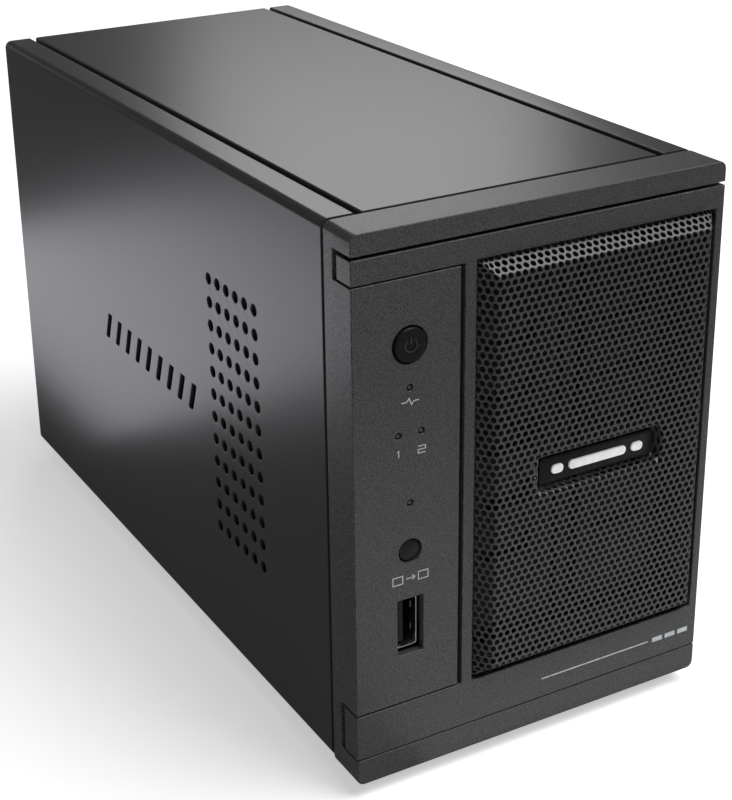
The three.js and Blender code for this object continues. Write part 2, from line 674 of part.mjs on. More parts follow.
function fanFrame() {
  const half = FAN.size / 2;
  const motorFront = CHASSIS_BACK - 2;
  const struts = [90, 210, 330].map((angle) => {
    const strut = new THREE.BoxGeometry(3, 2, FAN.bore + 2);
    strut.translate(0, 0, (FAN.bore + 2) / 2);
    strut.rotateY(THREE.MathUtils.degToRad(angle));
    strut.translate(FAN.x, motorFront + 1, FAN.z);
    return solid(strut);
  });
  const shell = cut(
    alongY(roundedPoints(FAN.x - half, FAN.x + half, FAN.z - half, FAN.z + half, 4), FAN_FRONT, CHASSIS_BACK),
    rodY(FAN.x, FAN.z, FAN.bore, FAN_FRONT - 1, CHASSIS_BACK + 1, 32),
    ...fanCorners().map(([x, z]) => rodY(x, z, FAN.screwHole, FAN_FRONT - 1, CHASSIS_BACK + 1, 8)),
  );
  return cut(
    join(shell, ...struts, rodY(FAN.x, FAN.z, FAN.hub - 1, motorFront, CHASSIS_BACK, 20)),
    rodY(FAN.x, FAN.z, 1.9, motorFront - 1, motorFront + 1.6, 10),
  );
}

function fanRotor() {
  const blades = 7;
  const hubBack = CHASSIS_BACK - 2 - 0.5;
  const reach = FAN.bore - 1.6;
  const pieces = Array.from({ length: blades }, (_, i) => {
    const blade = new THREE.BoxGeometry(15, 1.1, reach - FAN.hub + 1);
    blade.rotateZ(THREE.MathUtils.degToRad(32));
    blade.translate(0, 0, (reach + FAN.hub - 1) / 2);
    blade.rotateY((2 * Math.PI * i) / blades);
    blade.translate(FAN.x, FAN_FRONT + 6.6, FAN.z);
    return solid(blade);
  });
  return join(
    rodY(FAN.x, FAN.z, FAN.hub, FAN_FRONT + 0.6, hubBack, 24),
    rodY(FAN.x, FAN.z, 1.4, hubBack - 0.5, hubBack + 1.5, 10),
    ...pieces,
  );
}

// A wire finger guard: a middle disc and rings under 4 mm apart, joined by diagonal spokes with screw eyes
function fanGuard() {
  const y0 = PANEL_BACK + GAP;
  const { wire, disc, firstRing, pitch } = GUARD;
  const rings = Array.from({ length: GUARD.rings }, (_, i) => {
    const radius = firstRing + i * pitch;
    return cut(
      rodY(FAN.x, FAN.z, radius + wire / 2, y0, y0 + wire, 16),
      rodY(FAN.x, FAN.z, radius - wire / 2, y0 - 1, y0 + 2, 16),
    );
  });
  const eye = Math.hypot(FAN.screw, FAN.screw);
  const spokes = [45, 135, 225, 315].map((angle) => {
    const spoke = new THREE.BoxGeometry(wire, 0.9, eye);
    spoke.translate(0, 0, eye / 2);
    spoke.rotateY(THREE.MathUtils.degToRad(angle));
    spoke.translate(FAN.x, y0 + 0.45, FAN.z);
    return solid(spoke);
  });
  const eyes = fanCorners().map(([x, z]) => rodY(x, z, 3.2, y0, y0 + 0.9, 8));
  const bores = fanCorners().map(([x, z]) => rodY(x, z, FAN.screwHole, y0 - 1, y0 + 2, 8));
  return cut(
    join(rodY(FAN.x, FAN.z, disc, y0, y0 + 0.9, 12), ...rings, ...spokes, ...eyes),
    ...bores,
  );
}

function fanScrew(x, z) {
  const underHead = PANEL_BACK + GAP + 0.9 + GAP;
  return join(
    rodY(x, z, 3, underHead, BACK, 12),
    rodY(x, z, 1.5, CHASSIS_BACK - 5, underHead + 0.3, 8),
  );
}

add('rear_panel', rearPanel(), COVER_PAINT);
add('fan_frame', fanFrame(), BLACK_PLASTIC);
add('fan_rotor', fanRotor(), BLACK_PLASTIC);
add('fan_guard', fanGuard(), BRIGHT_METAL);
fanCorners().forEach(([x, z], i) => add(`fan_screw_${i + 1}`, fanScrew(x, z), BARE_STEEL));

// ---------------------------------------------------------------- main board and rear connectors

function mainBoard() {
  return box(BOARD.inner - BOARD.thick, BOARD.inner, BOARD.front, BOARD.back, BOARD.bottom, BOARD.top);
}

function processor() {
  return box(PORT_BASE, PORT_BASE + 2, 0, 20, 66, 86);
}

function heatsink() {
  const foot = PORT_BASE + 2 + GAP;
  const step = (HEATSINK.top - HEATSINK.bottom - 1.6) / (HEATSINK.fins - 1);
  const fins = Array.from({ length: HEATSINK.fins }, (_, i) => {
    const z = HEATSINK.bottom + i * step;
    return box(foot + 1, foot + HEATSINK.high, HEATSINK.front, HEATSINK.back, z, z + 1.6);
  });
  return join(
    box(foot, foot + HEATSINK.base, HEATSINK.front, HEATSINK.back, HEATSINK.bottom, HEATSINK.top),
    ...fins,
  );
}

function ethernetJack() {
  const { z, wide, high, deep } = ETHERNET;
  const mouth = PORT_BACK - ETHERNET_SOCKET.deep;
  return cut(
    box(PORT_BASE, PORT_BASE + high, PORT_BACK - deep, PORT_BACK, z - wide / 2, z + wide / 2),
    box(
      PORT_BASE + ETHERNET_SOCKET.low, PORT_BASE + ETHERNET_SOCKET.high, mouth, PORT_BACK + 1,
      z - ETHERNET_SOCKET.wide / 2, z + ETHERNET_SOCKET.wide / 2,
    ),
    box(PORT_BASE + ETHERNET_SOCKET.high - 1, PORT_BASE + 12, mouth, PORT_BACK + 1, z - 3, z + 3),
  );
}

function powerInlet() {
  const { z, wide, high, deep, hole, pin } = POWER_INLET;
  const x = PORT_BASE + high / 2;
  const body = cut(
    box(PORT_BASE, PORT_BASE + high, PORT_BACK - deep, PORT_BACK, z - wide / 2, z + wide / 2),
    rodY(x, z, hole, PORT_BACK - deep + 3, PORT_BACK + 1, 16),
  );
  return join(body, rodY(x, z, pin, PORT_BACK - deep + 2, PORT_BACK - 1.5, 10));
}

function resetButton() {
  return join(
    rodY(RESET.x, RESET.z, RESET.radius, PANEL_FRONT - 1.8, PANEL_BACK - 0.3, 12),
    rodY(RESET.x, RESET.z, 2.2, PANEL_FRONT - 2.8, PANEL_FRONT - 1.6, 12),
  );
}

function resetSwitch() {
  return box(PORT_BASE, PORT_BASE + 7, PANEL_FRONT - 9, PANEL_FRONT - 4.2, RESET.z - 3, RESET.z + 3);
}

add('main_board', mainBoard(), CIRCUIT_GREEN);
add('processor', processor(), BLACK_PLASTIC);
add('heatsink', heatsink(), BARE_STEEL);
add('ethernet_jack', ethernetJack(), BRIGHT_METAL);
REAR_USB.z.forEach((z, i) => {
  const x = PORT_BASE + 1.2 + USB.thick / 2;
  add(`rear_usb_shell_${i + 1}`, usbShell(x, z, PORT_BACK, -1), BRIGHT_METAL);
  add(`rear_usb_tongue_${i + 1}`, usbTongue(x, z, PORT_BACK, -1), BLACK_PLASTIC);
});
add('power_inlet', powerInlet(), BLACK_PLASTIC);
add('reset_button', resetButton(), BLACK_PLASTIC);
add('reset_switch', resetSwitch(), BLACK_PLASTIC);

// ---------------------------------------------------------------- feet

function foot() {
  const top = CHASSIS_BOTTOM - GAP;
  const { radius } = FOOT;
  const profile = [
    [0, 0], [radius - 1.2, 0], [radius - 0.5, 0.6], [radius, FOOT_HEIGHT - 0.4],
    [radius - 2, FOOT_HEIGHT - 0.1], [radius - 2, top], [0, top],
  ];
  const geometry = new THREE.LatheGeometry(profile.map(([r, h]) => new THREE.Vector2(r, h)), 12);
  geometry.rotateX(Math.PI / 2);
  return solid(geometry);
}

for (const [end, y] of [['front', FOOT.front], ['back', FOOT.back]]) {
  for (const [side, x] of [['left', -FOOT.x], ['right', FOOT.x]]) {
    const mesh = add(`foot_${end}_${side}`, foot(), SOFT_RUBBER);
    mesh.position.set(x, y, 0);
  }
}

export default model;
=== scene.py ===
import json
import math

import bmesh
import bpy
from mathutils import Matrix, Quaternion, Vector
from mathutils.geometry import tessellate_polygon

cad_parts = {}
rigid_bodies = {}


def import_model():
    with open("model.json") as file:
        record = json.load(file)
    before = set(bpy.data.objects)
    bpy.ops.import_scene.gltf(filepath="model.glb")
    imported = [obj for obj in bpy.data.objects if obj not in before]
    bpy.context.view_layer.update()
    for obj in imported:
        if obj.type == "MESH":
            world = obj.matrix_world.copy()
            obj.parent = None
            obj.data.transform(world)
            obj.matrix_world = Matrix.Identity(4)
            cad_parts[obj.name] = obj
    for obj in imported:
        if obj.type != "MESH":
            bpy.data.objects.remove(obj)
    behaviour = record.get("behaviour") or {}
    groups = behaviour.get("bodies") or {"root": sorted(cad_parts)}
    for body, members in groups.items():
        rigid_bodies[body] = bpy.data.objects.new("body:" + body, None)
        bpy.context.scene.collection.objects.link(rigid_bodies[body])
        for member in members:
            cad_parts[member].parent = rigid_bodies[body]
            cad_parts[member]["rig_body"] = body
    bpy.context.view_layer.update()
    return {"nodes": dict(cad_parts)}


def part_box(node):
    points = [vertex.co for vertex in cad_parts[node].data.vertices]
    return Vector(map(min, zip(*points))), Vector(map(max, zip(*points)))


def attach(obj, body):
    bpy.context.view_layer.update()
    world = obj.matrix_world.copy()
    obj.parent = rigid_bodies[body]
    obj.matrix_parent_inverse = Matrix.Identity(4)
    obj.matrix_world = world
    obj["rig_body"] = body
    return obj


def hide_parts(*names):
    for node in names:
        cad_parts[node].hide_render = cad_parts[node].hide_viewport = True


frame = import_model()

MM = 0.001
SCENE = bpy.context.scene


def span(node):
    """A CAD node's lowest and highest corners in millimetres."""
    low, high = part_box(node)
    return low / MM, high / MM


# -------- driving sizes, in millimetres

COVER_LOW, COVER_HIGH = span("right_cover")
SIDE = COVER_HIGH.x
BACK = COVER_HIGH.y
TOP = COVER_HIGH.z
COVER_FRONT = COVER_LOW.y
COVER_BOTTOM = COVER_LOW.z
FRONT = span("bezel_frame")[0].y
SHEET = 1.0
GROOVE_NEAR = span("top_panel")[1].x
GROOVE_FAR = GROOVE_NEAR + 1.6
CONTROLS_X = (span("power_button")[0].x + span("power_button")[1].x) / 2


# -------- material building

# The part of a noise's range that the change of colour, and of roughness, is spread over.
COLOR_RANGE = (0.35, 0.65)
ROUGHNESS_RANGE = (0.3, 0.7)


def principled(name, color, roughness, metallic=0.0):
    material = bpy.data.materials.new(name)
    material.use_nodes = True
    shader = material.node_tree.nodes["Principled BSDF"]
    shader.inputs["Base Color"].default_value = (*color, 1)
    shader.inputs["Roughness"].default_value = roughness
    shader.inputs["Metallic"].default_value = metallic
    return material, shader


def object_noise(material, scale, detail, stretch=(1, 1, 1)):
    """A noise over the piece's own coordinates, in metres, so that it rides with the piece."""
    nodes, links = material.node_tree.nodes, material.node_tree.links
    place = nodes.new("ShaderNodeTexCoord")
    mapping = nodes.new("ShaderNodeMapping")
    mapping.inputs["Scale"].default_value = stretch
    noise = nodes.new("ShaderNodeTexNoise")
    noise.inputs["Scale"].default_value = scale
    noise.inputs["Detail"].default_value = detail
    links.new(place.outputs["Object"], mapping.inputs["Vector"])
    links.new(mapping.outputs["Vector"], noise.inputs["Vector"])
    return noise.outputs["Fac"]


def vary_color(material, shader, noise, dark, light):
    nodes, links = material.node_tree.nodes, material.node_tree.links
    ramp = nodes.new("ShaderNodeValToRGB")
    for element, position, color in zip(ramp.color_ramp.elements, COLOR_RANGE, (dark, light)):
        element.position = position
        element.color = (*color, 1)
    links.new(object_noise(material, *noise), ramp.inputs["Fac"])
    links.new(ramp.outputs["Color"], shader.inputs["Base Color"])


def vary_roughness(material, shader, noise, low, high):
    nodes, links = material.node_tree.nodes, material.node_tree.links
    spread = nodes.new("ShaderNodeMapRange")
    spread.inputs["From Min"].default_value, spread.inputs["From Max"].default_value = ROUGHNESS_RANGE
    spread.inputs["To Min"].default_value = low
    spread.inputs["To Max"].default_value = high
    links.new(object_noise(material, *noise), spread.inputs["Value"])
    links.new(spread.outputs["Result"], shader.inputs["Roughness"])


def bump(material, shader, noise, strength, height_mm):
    nodes, links = material.node_tree.nodes, material.node_tree.links
    relief = nodes.new("ShaderNodeBump")
    relief.inputs["Strength"].default_value = strength
    relief.inputs["Distance"].default_value = height_mm * MM
    links.new(object_noise(material, *noise), relief.inputs["Height"])
    links.new(relief.outputs["Normal"], shader.inputs["Normal"])


def textured(name, color, roughness, metallic=0.0, specular=None, tones=None, gloss=None, relief=None):
    """A material from noises, each given as its scale, its detail and, where it has one, its stretch.
    tones is a noise and its dark and light colours, gloss a noise and its lowest and highest roughness,
    and relief a noise, its strength and its height in millimetres."""
    material, shader = principled(name, color, roughness, metallic)
    if specular is not None:
        shader.inputs["Specular IOR Level"].default_value = specular
    if tones:
        vary_color(material, shader, *tones)
    if gloss:
        vary_roughness(material, shader, *gloss)
    if relief:
        bump(material, shader, *relief)
    return material


def cover_paint():
    """Satin near-black paint on steel, with a fine orange peel."""
    return textured(
        "cover_paint", (0.028, 0.0285, 0.03), 0.3, specular=0.6,
        tones=((2600, 2), (0.023, 0.0235, 0.025), (0.033, 0.0335, 0.035)),
        gloss=((2000, 2), 0.285, 0.315),
        relief=((2400, 2), 0.2, 0.012),
    )


def bezel_plastic():
    """Dark moulded plastic with a fine spark-eroded grain."""
    return textured(
        "bezel_plastic", (0.042, 0.042, 0.043), 0.38,
        tones=((3100, 2), (0.015, 0.015, 0.0155), (0.08, 0.08, 0.081)),
        gloss=((2400, 2), 0.32, 0.42),
        relief=((3100, 2), 0.6, 0.03),
    )


def black_plastic(name="black_plastic", color=(0.007, 0.007, 0.008), roughness=0.3):
    """Black moulded plastic, a little uneven in gloss."""
    return textured(
        name, color, roughness, specular=0.22,
        tones=((800, 2), color, [1.5 * c for c in color]),
        gloss=((300, 3), roughness - 0.06, roughness + 0.08),
        relief=((2200, 2), 0.15, 0.015),
    )


def grille_paint():
    """Black coating on the punched sheet, with a slightly metallic sheen."""
    return textured(
        "grille_paint", (0.068, 0.068, 0.07), 0.36, 0.35,
        tones=((900, 3), (0.056, 0.056, 0.058), (0.082, 0.082, 0.084)),
        gloss=((900, 3), 0.33, 0.43),
        relief=((2600, 2), 0.25, 0.01),
    )


def bare_steel():
    """Zinc-plated sheet, with rolling streaks along the sheet."""
    return textured(
        "bare_steel", (0.5, 0.51, 0.52), 0.35, 1.0,
        tones=((80, 4), (0.4, 0.41, 0.43), (0.58, 0.58, 0.59)),
        gloss=((300, 3, (1, 0.06, 1)), 0.27, 0.45),
        relief=((900, 2, (1, 0.05, 1)), 0.1, 0.01),
    )


def bright_metal():
    """Bright nickel plating."""
    return textured(
        "bright_metal", (0.78, 0.78, 0.79), 0.16, 1.0,
        tones=((150, 3), (0.68, 0.68, 0.69), (0.84, 0.84, 0.85)),
        gloss=((500, 3), 0.1, 0.26),
    )


def circuit_board():
    """Green solder mask over a faint pattern of copper tracks."""
    material, shader = principled("circuit_board", (0.02, 0.12, 0.05), 0.35)
    nodes, links = material.node_tree.nodes, material.node_tree.links
    place = nodes.new("ShaderNodeTexCoord")
    tracks = nodes.new("ShaderNodeTexBrick")
    tracks.inputs["Scale"].default_value = 220
    greens = {"Color1": (0.016, 0.1, 0.042), "Color2": (0.02, 0.12, 0.05), "Mortar": (0.035, 0.19, 0.08)}
    for part, green in greens.items():
        tracks.inputs[part].default_value = (*green, 1)
    turn = nodes.new("ShaderNodeMapping")
    turn.inputs["Rotation"].default_value = (0, math.radians(90), 0)
    links.new(place.outputs["Object"], turn.inputs["Vector"])
    links.new(turn.outputs["Vector"], tracks.inputs["Vector"])
    links.new(tracks.outputs["Color"], shader.inputs["Base Color"])
    vary_roughness(material, shader, (200, 3), 0.28, 0.42)
    return material


def disk_metal():
    """Cast and bead-blasted aluminium."""
    return textured(
        "disk_metal", (0.56, 0.57, 0.58), 0.42, 0.9,
        tones=((400, 4), (0.48, 0.49, 0.5), (0.62, 0.63, 0.64)),
        gloss=((700, 2), 0.36, 0.52),
        relief=((1800, 2), 0.2, 0.02),
    )


def light_pipe():
    """Unlit smoky plastic rod."""
    return textured(
        "light_pipe", (0.045, 0.05, 0.05), 0.25,
        tones=((900, 2), (0.035, 0.04, 0.04), (0.07, 0.075, 0.075)),
    )


def soft_rubber():
    """Matt black rubber."""
    return textured(
        "soft_rubber", (0.014, 0.014, 0.014), 0.85,
        tones=((500, 4), (0.01, 0.01, 0.01), (0.022, 0.022, 0.022)),
        relief=((1500, 3), 0.4, 0.04),
    )


def pale_print():
    """Silk-screen ink, a little uneven."""
    return textured(
        "pale_print", (0.4, 0.43, 0.45), 0.55,
        tones=((1600, 3), (0.33, 0.36, 0.38), (0.46, 0.49, 0.51)),
    )


def white_inlay():
    """White plastic of the badge's bars."""
    return textured(
        "white_inlay", (0.8, 0.8, 0.8), 0.4,
        tones=((700, 2), (0.76, 0.76, 0.76), (0.85, 0.85, 0.85)),
    )


def contact_gold():
    """Gold plating on the sockets' contacts."""
    return textured(
        "contact_gold", (0.9, 0.62, 0.25), 0.25, 1.0,
        tones=((900, 2), (0.8, 0.55, 0.22), (0.93, 0.68, 0.3)),
    )


PAINT = cover_paint()
BEZEL = bezel_plastic()
BLACK = black_plastic()
TRAY_PLASTIC = black_plastic("tray_plastic", (0.018, 0.018, 0.019), 0.45)
GRILLE = grille_paint()
STEEL = bare_steel()
BRIGHT = bright_metal()
BOARD = circuit_board()
DISK = disk_metal()
PIPE = light_pipe()
RUBBER = soft_rubber()
PRINT = pale_print()
INLAY = white_inlay()
GOLD = contact_gold()


# -------- mesh building

def smooth_shade(bm, angle):
    """Smooth faces, with the edges sharper than the angle in degrees kept sharp."""
    for face in bm.faces:
        face.smooth = True
    for edge in bm.edges:
        edge.smooth = len(edge.link_faces) == 2 and edge.calc_face_angle() < math.radians(angle)


def finished(name, bm, material, body, stands_for=(), angle=38, outward=True):
    """Turns a bmesh drawn in millimetres into a piece that rides on a body."""
    if outward:
        bmesh.ops.recalc_face_normals(bm, faces=bm.faces)
    smooth_shade(bm, angle)
    bmesh.ops.scale(bm, vec=(MM, MM, MM), verts=bm.verts)
    mesh = bpy.data.meshes.new(name)
    bm.to_mesh(mesh)
    bm.free()
    piece = bpy.data.objects.new(name, mesh)
    SCENE.collection.objects.link(piece)
    piece.data.materials.append(material)
    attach(piece, body)
    if stands_for:
        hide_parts(*stands_for)
    return piece


def even_normals(piece):
    """Keeps broad flat faces looking flat next to small rounded edges."""
    modifier = piece.modifiers.new("even_normals", "WEIGHTED_NORMAL")
    modifier.keep_sharp = True
    modifier.weight = 90


# The least cosine between the normals of two faces in one plane, and the turns of an edge that is dissolved
# and of one that is rounded.
SAME_PLANE = 0.9999
ALMOST_FLAT = math.radians(0.5)
SHARP = math.radians(50)


def mark_flats(bm):
    """Numbers the flat areas of touching coplanar faces. Returns the layer and the areas' normals."""
    layer = bm.faces.layers.int.new("flat")
    normals = []
    for face in bm.faces:
        face[layer] = -1
    for seed in bm.faces:
        if seed[layer] >= 0:
            continue
        seed[layer] = len(normals)
        todo = [seed]
        while todo:
            face = todo.pop()
            for edge in face.edges:
                for other in edge.link_faces:
                    if other[layer] < 0 and other.normal.dot(seed.normal) > SAME_PLANE:
                        other[layer] = seed[layer]
                        todo.append(other)
        normals.append(seed.normal.copy())
    return layer, normals


def outlines(edges):
    """Closed loops of vertices along the edges, or None where the edges don't form simple loops."""
    beside = {}
    for edge in edges:
        for v in edge.verts:
            beside.setdefault(v, []).append(edge)
    if any(len(linked) != 2 for linked in beside.values()):
        return None
    loops = []
    left = set(edges)
    while left:
        edge = left.pop()
        start, at = edge.verts
        loop = [start]
        while at != start:
            loop.append(at)
            edge = next(e for e in beside[at] if e in left)
            left.remove(edge)
            at = edge.other_vert(at)
        loops.append(loop)
    return loops


def refill_flats(bm, layer, normals, rounded):
    """Draws each flat area again from its outline, so that no old facet edge crosses a rounded rim."""
    areas = {}
    for face in bm.faces:
        if face not in rounded:
            areas.setdefault(face[layer], []).append(face)
    removed, drawn = [], []
    for number, faces in areas.items():
        inside = set(faces)
        if len(faces) < 3:
            continue
        edges = {e for f in faces for e in f.edges}
        loops = outlines([e for e in edges if sum(f in inside for f in e.link_faces) == 1])
        if not loops:
            continue
        across = normals[number].orthogonal().normalized()
        up = normals[number].cross(across)
        flat = [[Vector((v.co.dot(across), v.co.dot(up), 0)) for v in loop] for loop in loops]
        order = sorted(range(len(loops)), key=lambda i: -extent(flat[i]))
        corners = [v for i in order for v in loops[i]]
        triangles = tessellate_polygon([flat[i] for i in order])
        if not triangles:
            continue
        removed += faces
        drawn += [([corners[i] for i in triangle], normals[number]) for triangle in triangles]
    bmesh.ops.delete(bm, geom=removed, context="FACES_KEEP_BOUNDARY")
    for points, normal in drawn:
        if len(set(points)) == 3 and bm.faces.get(points) is None:
            face = bm.faces.new(points)
            face.normal_update()
            if face.normal.dot(normal) < 0:
                face.normal_flip()


def extent(points):
    """The area of the box round the points."""
    wide = max(p.x for p in points) - min(p.x for p in points)
    tall = max(p.y for p in points) - min(p.y for p in points)
    return wide * tall


def round_edges(bm, width, segments):
    """Rounds every edge that turns by more than SHARP."""
    bm.normal_update()
    layer, normals = mark_flats(bm)
    bmesh.ops.dissolve_limit(bm, angle_limit=ALMOST_FLAT, verts=bm.verts, edges=bm.edges)
    edges = [e for e in bm.edges if len(e.link_faces) == 2 and e.calc_face_angle() > SHARP]
    made = bmesh.ops.bevel(
        bm, geom=edges, offset=width, segments=segments, affect="EDGES", profile=0.5, clamp_overlap=False,
    )
    rounded = set(made["faces"])
    bmesh.ops.triangulate(bm, faces=[f for f in bm.faces if f not in rounded])
    refill_flats(bm, layer, normals, rounded)


def rounded_copy(node, material, width, segments):
    """A CAD node's own shape with its sharp edges rounded."""
    bm = bmesh.new()
    bm.from_mesh(frame["nodes"][node].data)
    bmesh.ops.scale(bm, vec=(1 / MM, 1 / MM, 1 / MM), verts=bm.verts)
    bmesh.ops.remove_doubles(bm, verts=bm.verts, dist=0.002)
    round_edges(bm, width, segments)
    body = frame["nodes"][node]["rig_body"]
    even_normals(finished(node + "_finish", bm, material, body, (node,), outward=False))


def dressed(node, material):
    """A CAD node that stays as it is, with a finished material."""
    data = frame["nodes"][node].data
    data.materials.clear()
    data.materials.append(material)


def ring(a, b, radius, count):
    angles = [2 * math.pi * i / count for i in range(count)]
    return [(a + radius * math.cos(t), b + radius * math.sin(t)) for t in angles]


def arc(a, b, radius, first, last, steps):
    """Points along an arc, its angles in degrees."""
    angles = [math.radians(first + (last - first) * i / steps) for i in range(steps + 1)]
    return [(a + radius * math.cos(t), b + radius * math.sin(t)) for t in angles]


def rounded_rectangle(a0, a1, b0, b1, radius, steps=4):
    return [
        *arc(a1 - radius, b0 + radius, radius, -90, 0, steps),
        *arc(a1 - radius, b1 - radius, radius, 0, 90, steps),
        *arc(a0 + radius, b1 - radius, radius, 90, 180, steps),
        *arc(a0 + radius, b0 + radius, radius, 180, 270, steps),
    ]


def in_front_view(y):
    """Places a point drawn in X and Z, with depth running to +Y from y."""
    return lambda a, b, depth: Vector((a, y + depth, b))


def in_rear_view(y):
    """Places a point drawn in X and Z, with depth running to -Y from y."""
    return lambda a, b, depth: Vector((a, y - depth, b))


def loop_vertices(bm, points, depth, place):
    return [bm.verts.new(place(a, b, depth)) for a, b in points]


def bridge(bm, first, second):
    """Quads between two closed loops of the same length."""
    count = len(first)
    for i in range(count):
        j = (i + 1) % count
        bm.faces.new((first[i], first[j], second[j], second[i]))


def skin(bm, loops):
    """Bridges closed loops in a row, and closes both ends."""
    for one, other in zip(loops, loops[1:]):
        bridge(bm, one, other)
    bm.faces.new(loops[0])
    bm.faces.new(loops[-1])


def filled(bm, loops):
    """Fills the area inside the first loop and outside the others."""
    corners = [v for loop in loops for v in loop["verts"]]
    flat = [[Vector((a, b, 0)) for a, b in loop["points"]] for loop in loops]
    for triangle in tessellate_polygon(flat):
        bm.faces.new([corners[i] for i in triangle])


def plate(bm, outline, holes, place, thickness, chamfer):
    """A flat plate. outline and each hole are functions of an inset or outset that return points."""
    def level(depth, offset):
        loops = [{"points": outline(-offset)}, *({"points": hole(offset)} for hole in holes)]
        for loop in loops:
            loop["verts"] = loop_vertices(bm, loop["points"], depth, place)
        return loops
    face = level(0, chamfer)
    filled(bm, face)
    above = face
    for depth, offset in ((0.3 * chamfer, 0.3 * chamfer), (chamfer, 0), (thickness, 0)):
        below = level(depth, offset)
        for upper, lower in zip(above, below):
            bridge(bm, upper["verts"], lower["verts"])
        above = below
    filled(bm, above)


def round_hole(a, b, radius, count=24):
    return lambda offset: ring(a, b, radius + offset, count)


def box_outline(a0, a1, b0, b1, radius):
    def points(offset):
        return rounded_rectangle(a0 - offset, a1 + offset, b0 - offset, b1 + offset, radius + offset)
    return points


def circle(bm, middle, across, third, radius, count):
    """Vertices round a circle in the plane of two directions."""
    return [bm.verts.new(middle + across * a + third * b) for a, b in ring(0, 0, radius, count)]


def lathe(bm, profile, centre, along, count):
    """Turns (radius, distance) pairs about an axis through centre. The profile starts and ends on it."""
    along = Vector(along).normalized()
    across = along.orthogonal().normalized()
    third = along.cross(across)
    rings = []
    for radius, distance in profile:
        middle = Vector(centre) + along * distance
        if radius < 1e-6:
            rings.append([bm.verts.new(middle)])
            continue
        rings.append(circle(bm, middle, across, third, radius, count))
    for lower, upper in zip(rings, rings[1:]):
        for i in range(count):
            j = (i + 1) % count
            corners = [(lower, i), (lower, j), (upper, j), (upper, i)]
            unique = list(dict.fromkeys(row[k % len(row)] for row, k in corners))
            if len(unique) > 2:
                bm.faces.new(unique)


def tube(bm, path, radius, count, closed=False):
    """A round wire along a path of points."""
    points = [Vector(p) for p in path]
    total = len(points)
    rings = []
    side = None
    for i, point in enumerate(points):
        before = points[i - 1] if i or closed else point
        after = points[(i + 1) % total] if i + 1 < total or closed else point
        along = (after - before).normalized()
        side = along.orthogonal() if side is None else side - along * side.dot(along)
        side = side.normalized()
        third = along.cross(side)
        rings.append(circle(bm, point, side, third, radius, count))
    for i in range(total if closed else total - 1):
        bridge(bm, rings[i], rings[(i + 1) % total])
    if not closed:
        bm.faces.new(rings[0])
        bm.faces.new(rings[-1])


def block(bm, low, high):
    """A plain box inside a larger shape, such as a contact or a rib."""
    made = bmesh.ops.create_cube(bm, size=1)
    for v in made["verts"]:
        v.co = Vector([(l + h) / 2 + c * (h - l) for c, l, h in zip(v.co, low, high)])


def ribbon(bm, points, width, place, thickness=0.06, closed=False):
    """A flat printed line of even width, standing a hair proud of its surface."""
    count = len(points)
    sides = []
    for i, (a, b) in enumerate(points):
        here = Vector((a, b))
        into = (here - Vector(points[i - 1])) if i or closed else (Vector(points[1]) - here)
        out = (Vector(points[(i + 1) % count]) - here) if i + 1 < count or closed else into
        into, out = into.normalized(), out.normalized()
        normal = Vector((-(into + out).y, (into + out).x)).normalized()
        stretch = min(2.0, 1 / max(0.3, normal.dot(Vector((-into.y, into.x)))))
        sides.append((here + normal * width / 2 * stretch, here - normal * width / 2 * stretch))
    top = [[bm.verts.new(place(*p, -thickness / 2)) for p in pair] for pair in sides]
    bottom = [[bm.verts.new(place(*p, thickness / 2)) for p in pair] for pair in sides]
    for i in range(count if closed else count - 1):
        j = (i + 1) % count
        bm.faces.new((top[i][0], top[i][1], top[j][1], top[j][0]))
        bm.faces.new((bottom[i][0], bottom[j][0], bottom[j][1], bottom[i][1]))
        for k in (0, 1):
            bm.faces.new((top[i][k], top[j][k], bottom[j][k], bottom[i][k]))
    if not closed:
        for i in (0, count - 1):
            bm.faces.new((top[i][0], top[i][1], bottom[i][1], bottom[i][0]))


# -------- covers and top panel

VENT = {"columns": 6, "rows": 12, "y": -35.2, "z": 109.6, "step_y": -5.06, "step_z": -6.32, "radius": 1.5}
SLOTS = {"count": 9, "y": 37.0, "step_y": -7.3, "z": 72.0, "tall": 8.2, "wide": 2.6, "lean": 1.6}
BEND = 2.0
LIP_BEND = 0.55
LIP_DEPTH = 1.7
LIP_OVERLAP = 0.3
BOTTOM_RETURN = 8.5
LONG_STRETCH = 50


def slanted_slot(y, z):
    """A slanted cut-out with round corners, drawn in Y and Z."""
    def points(offset):
        half, lean, tall = SLOTS["wide"] / 2 + offset, SLOTS["lean"], SLOTS["tall"] / 2 + offset
        turn = 0.55 * half
        upright = rounded_rectangle(-half, half, -tall, tall, turn, 3)
        return [(y + u - lean * v / tall, z + v) for u, v in upright]
    return points


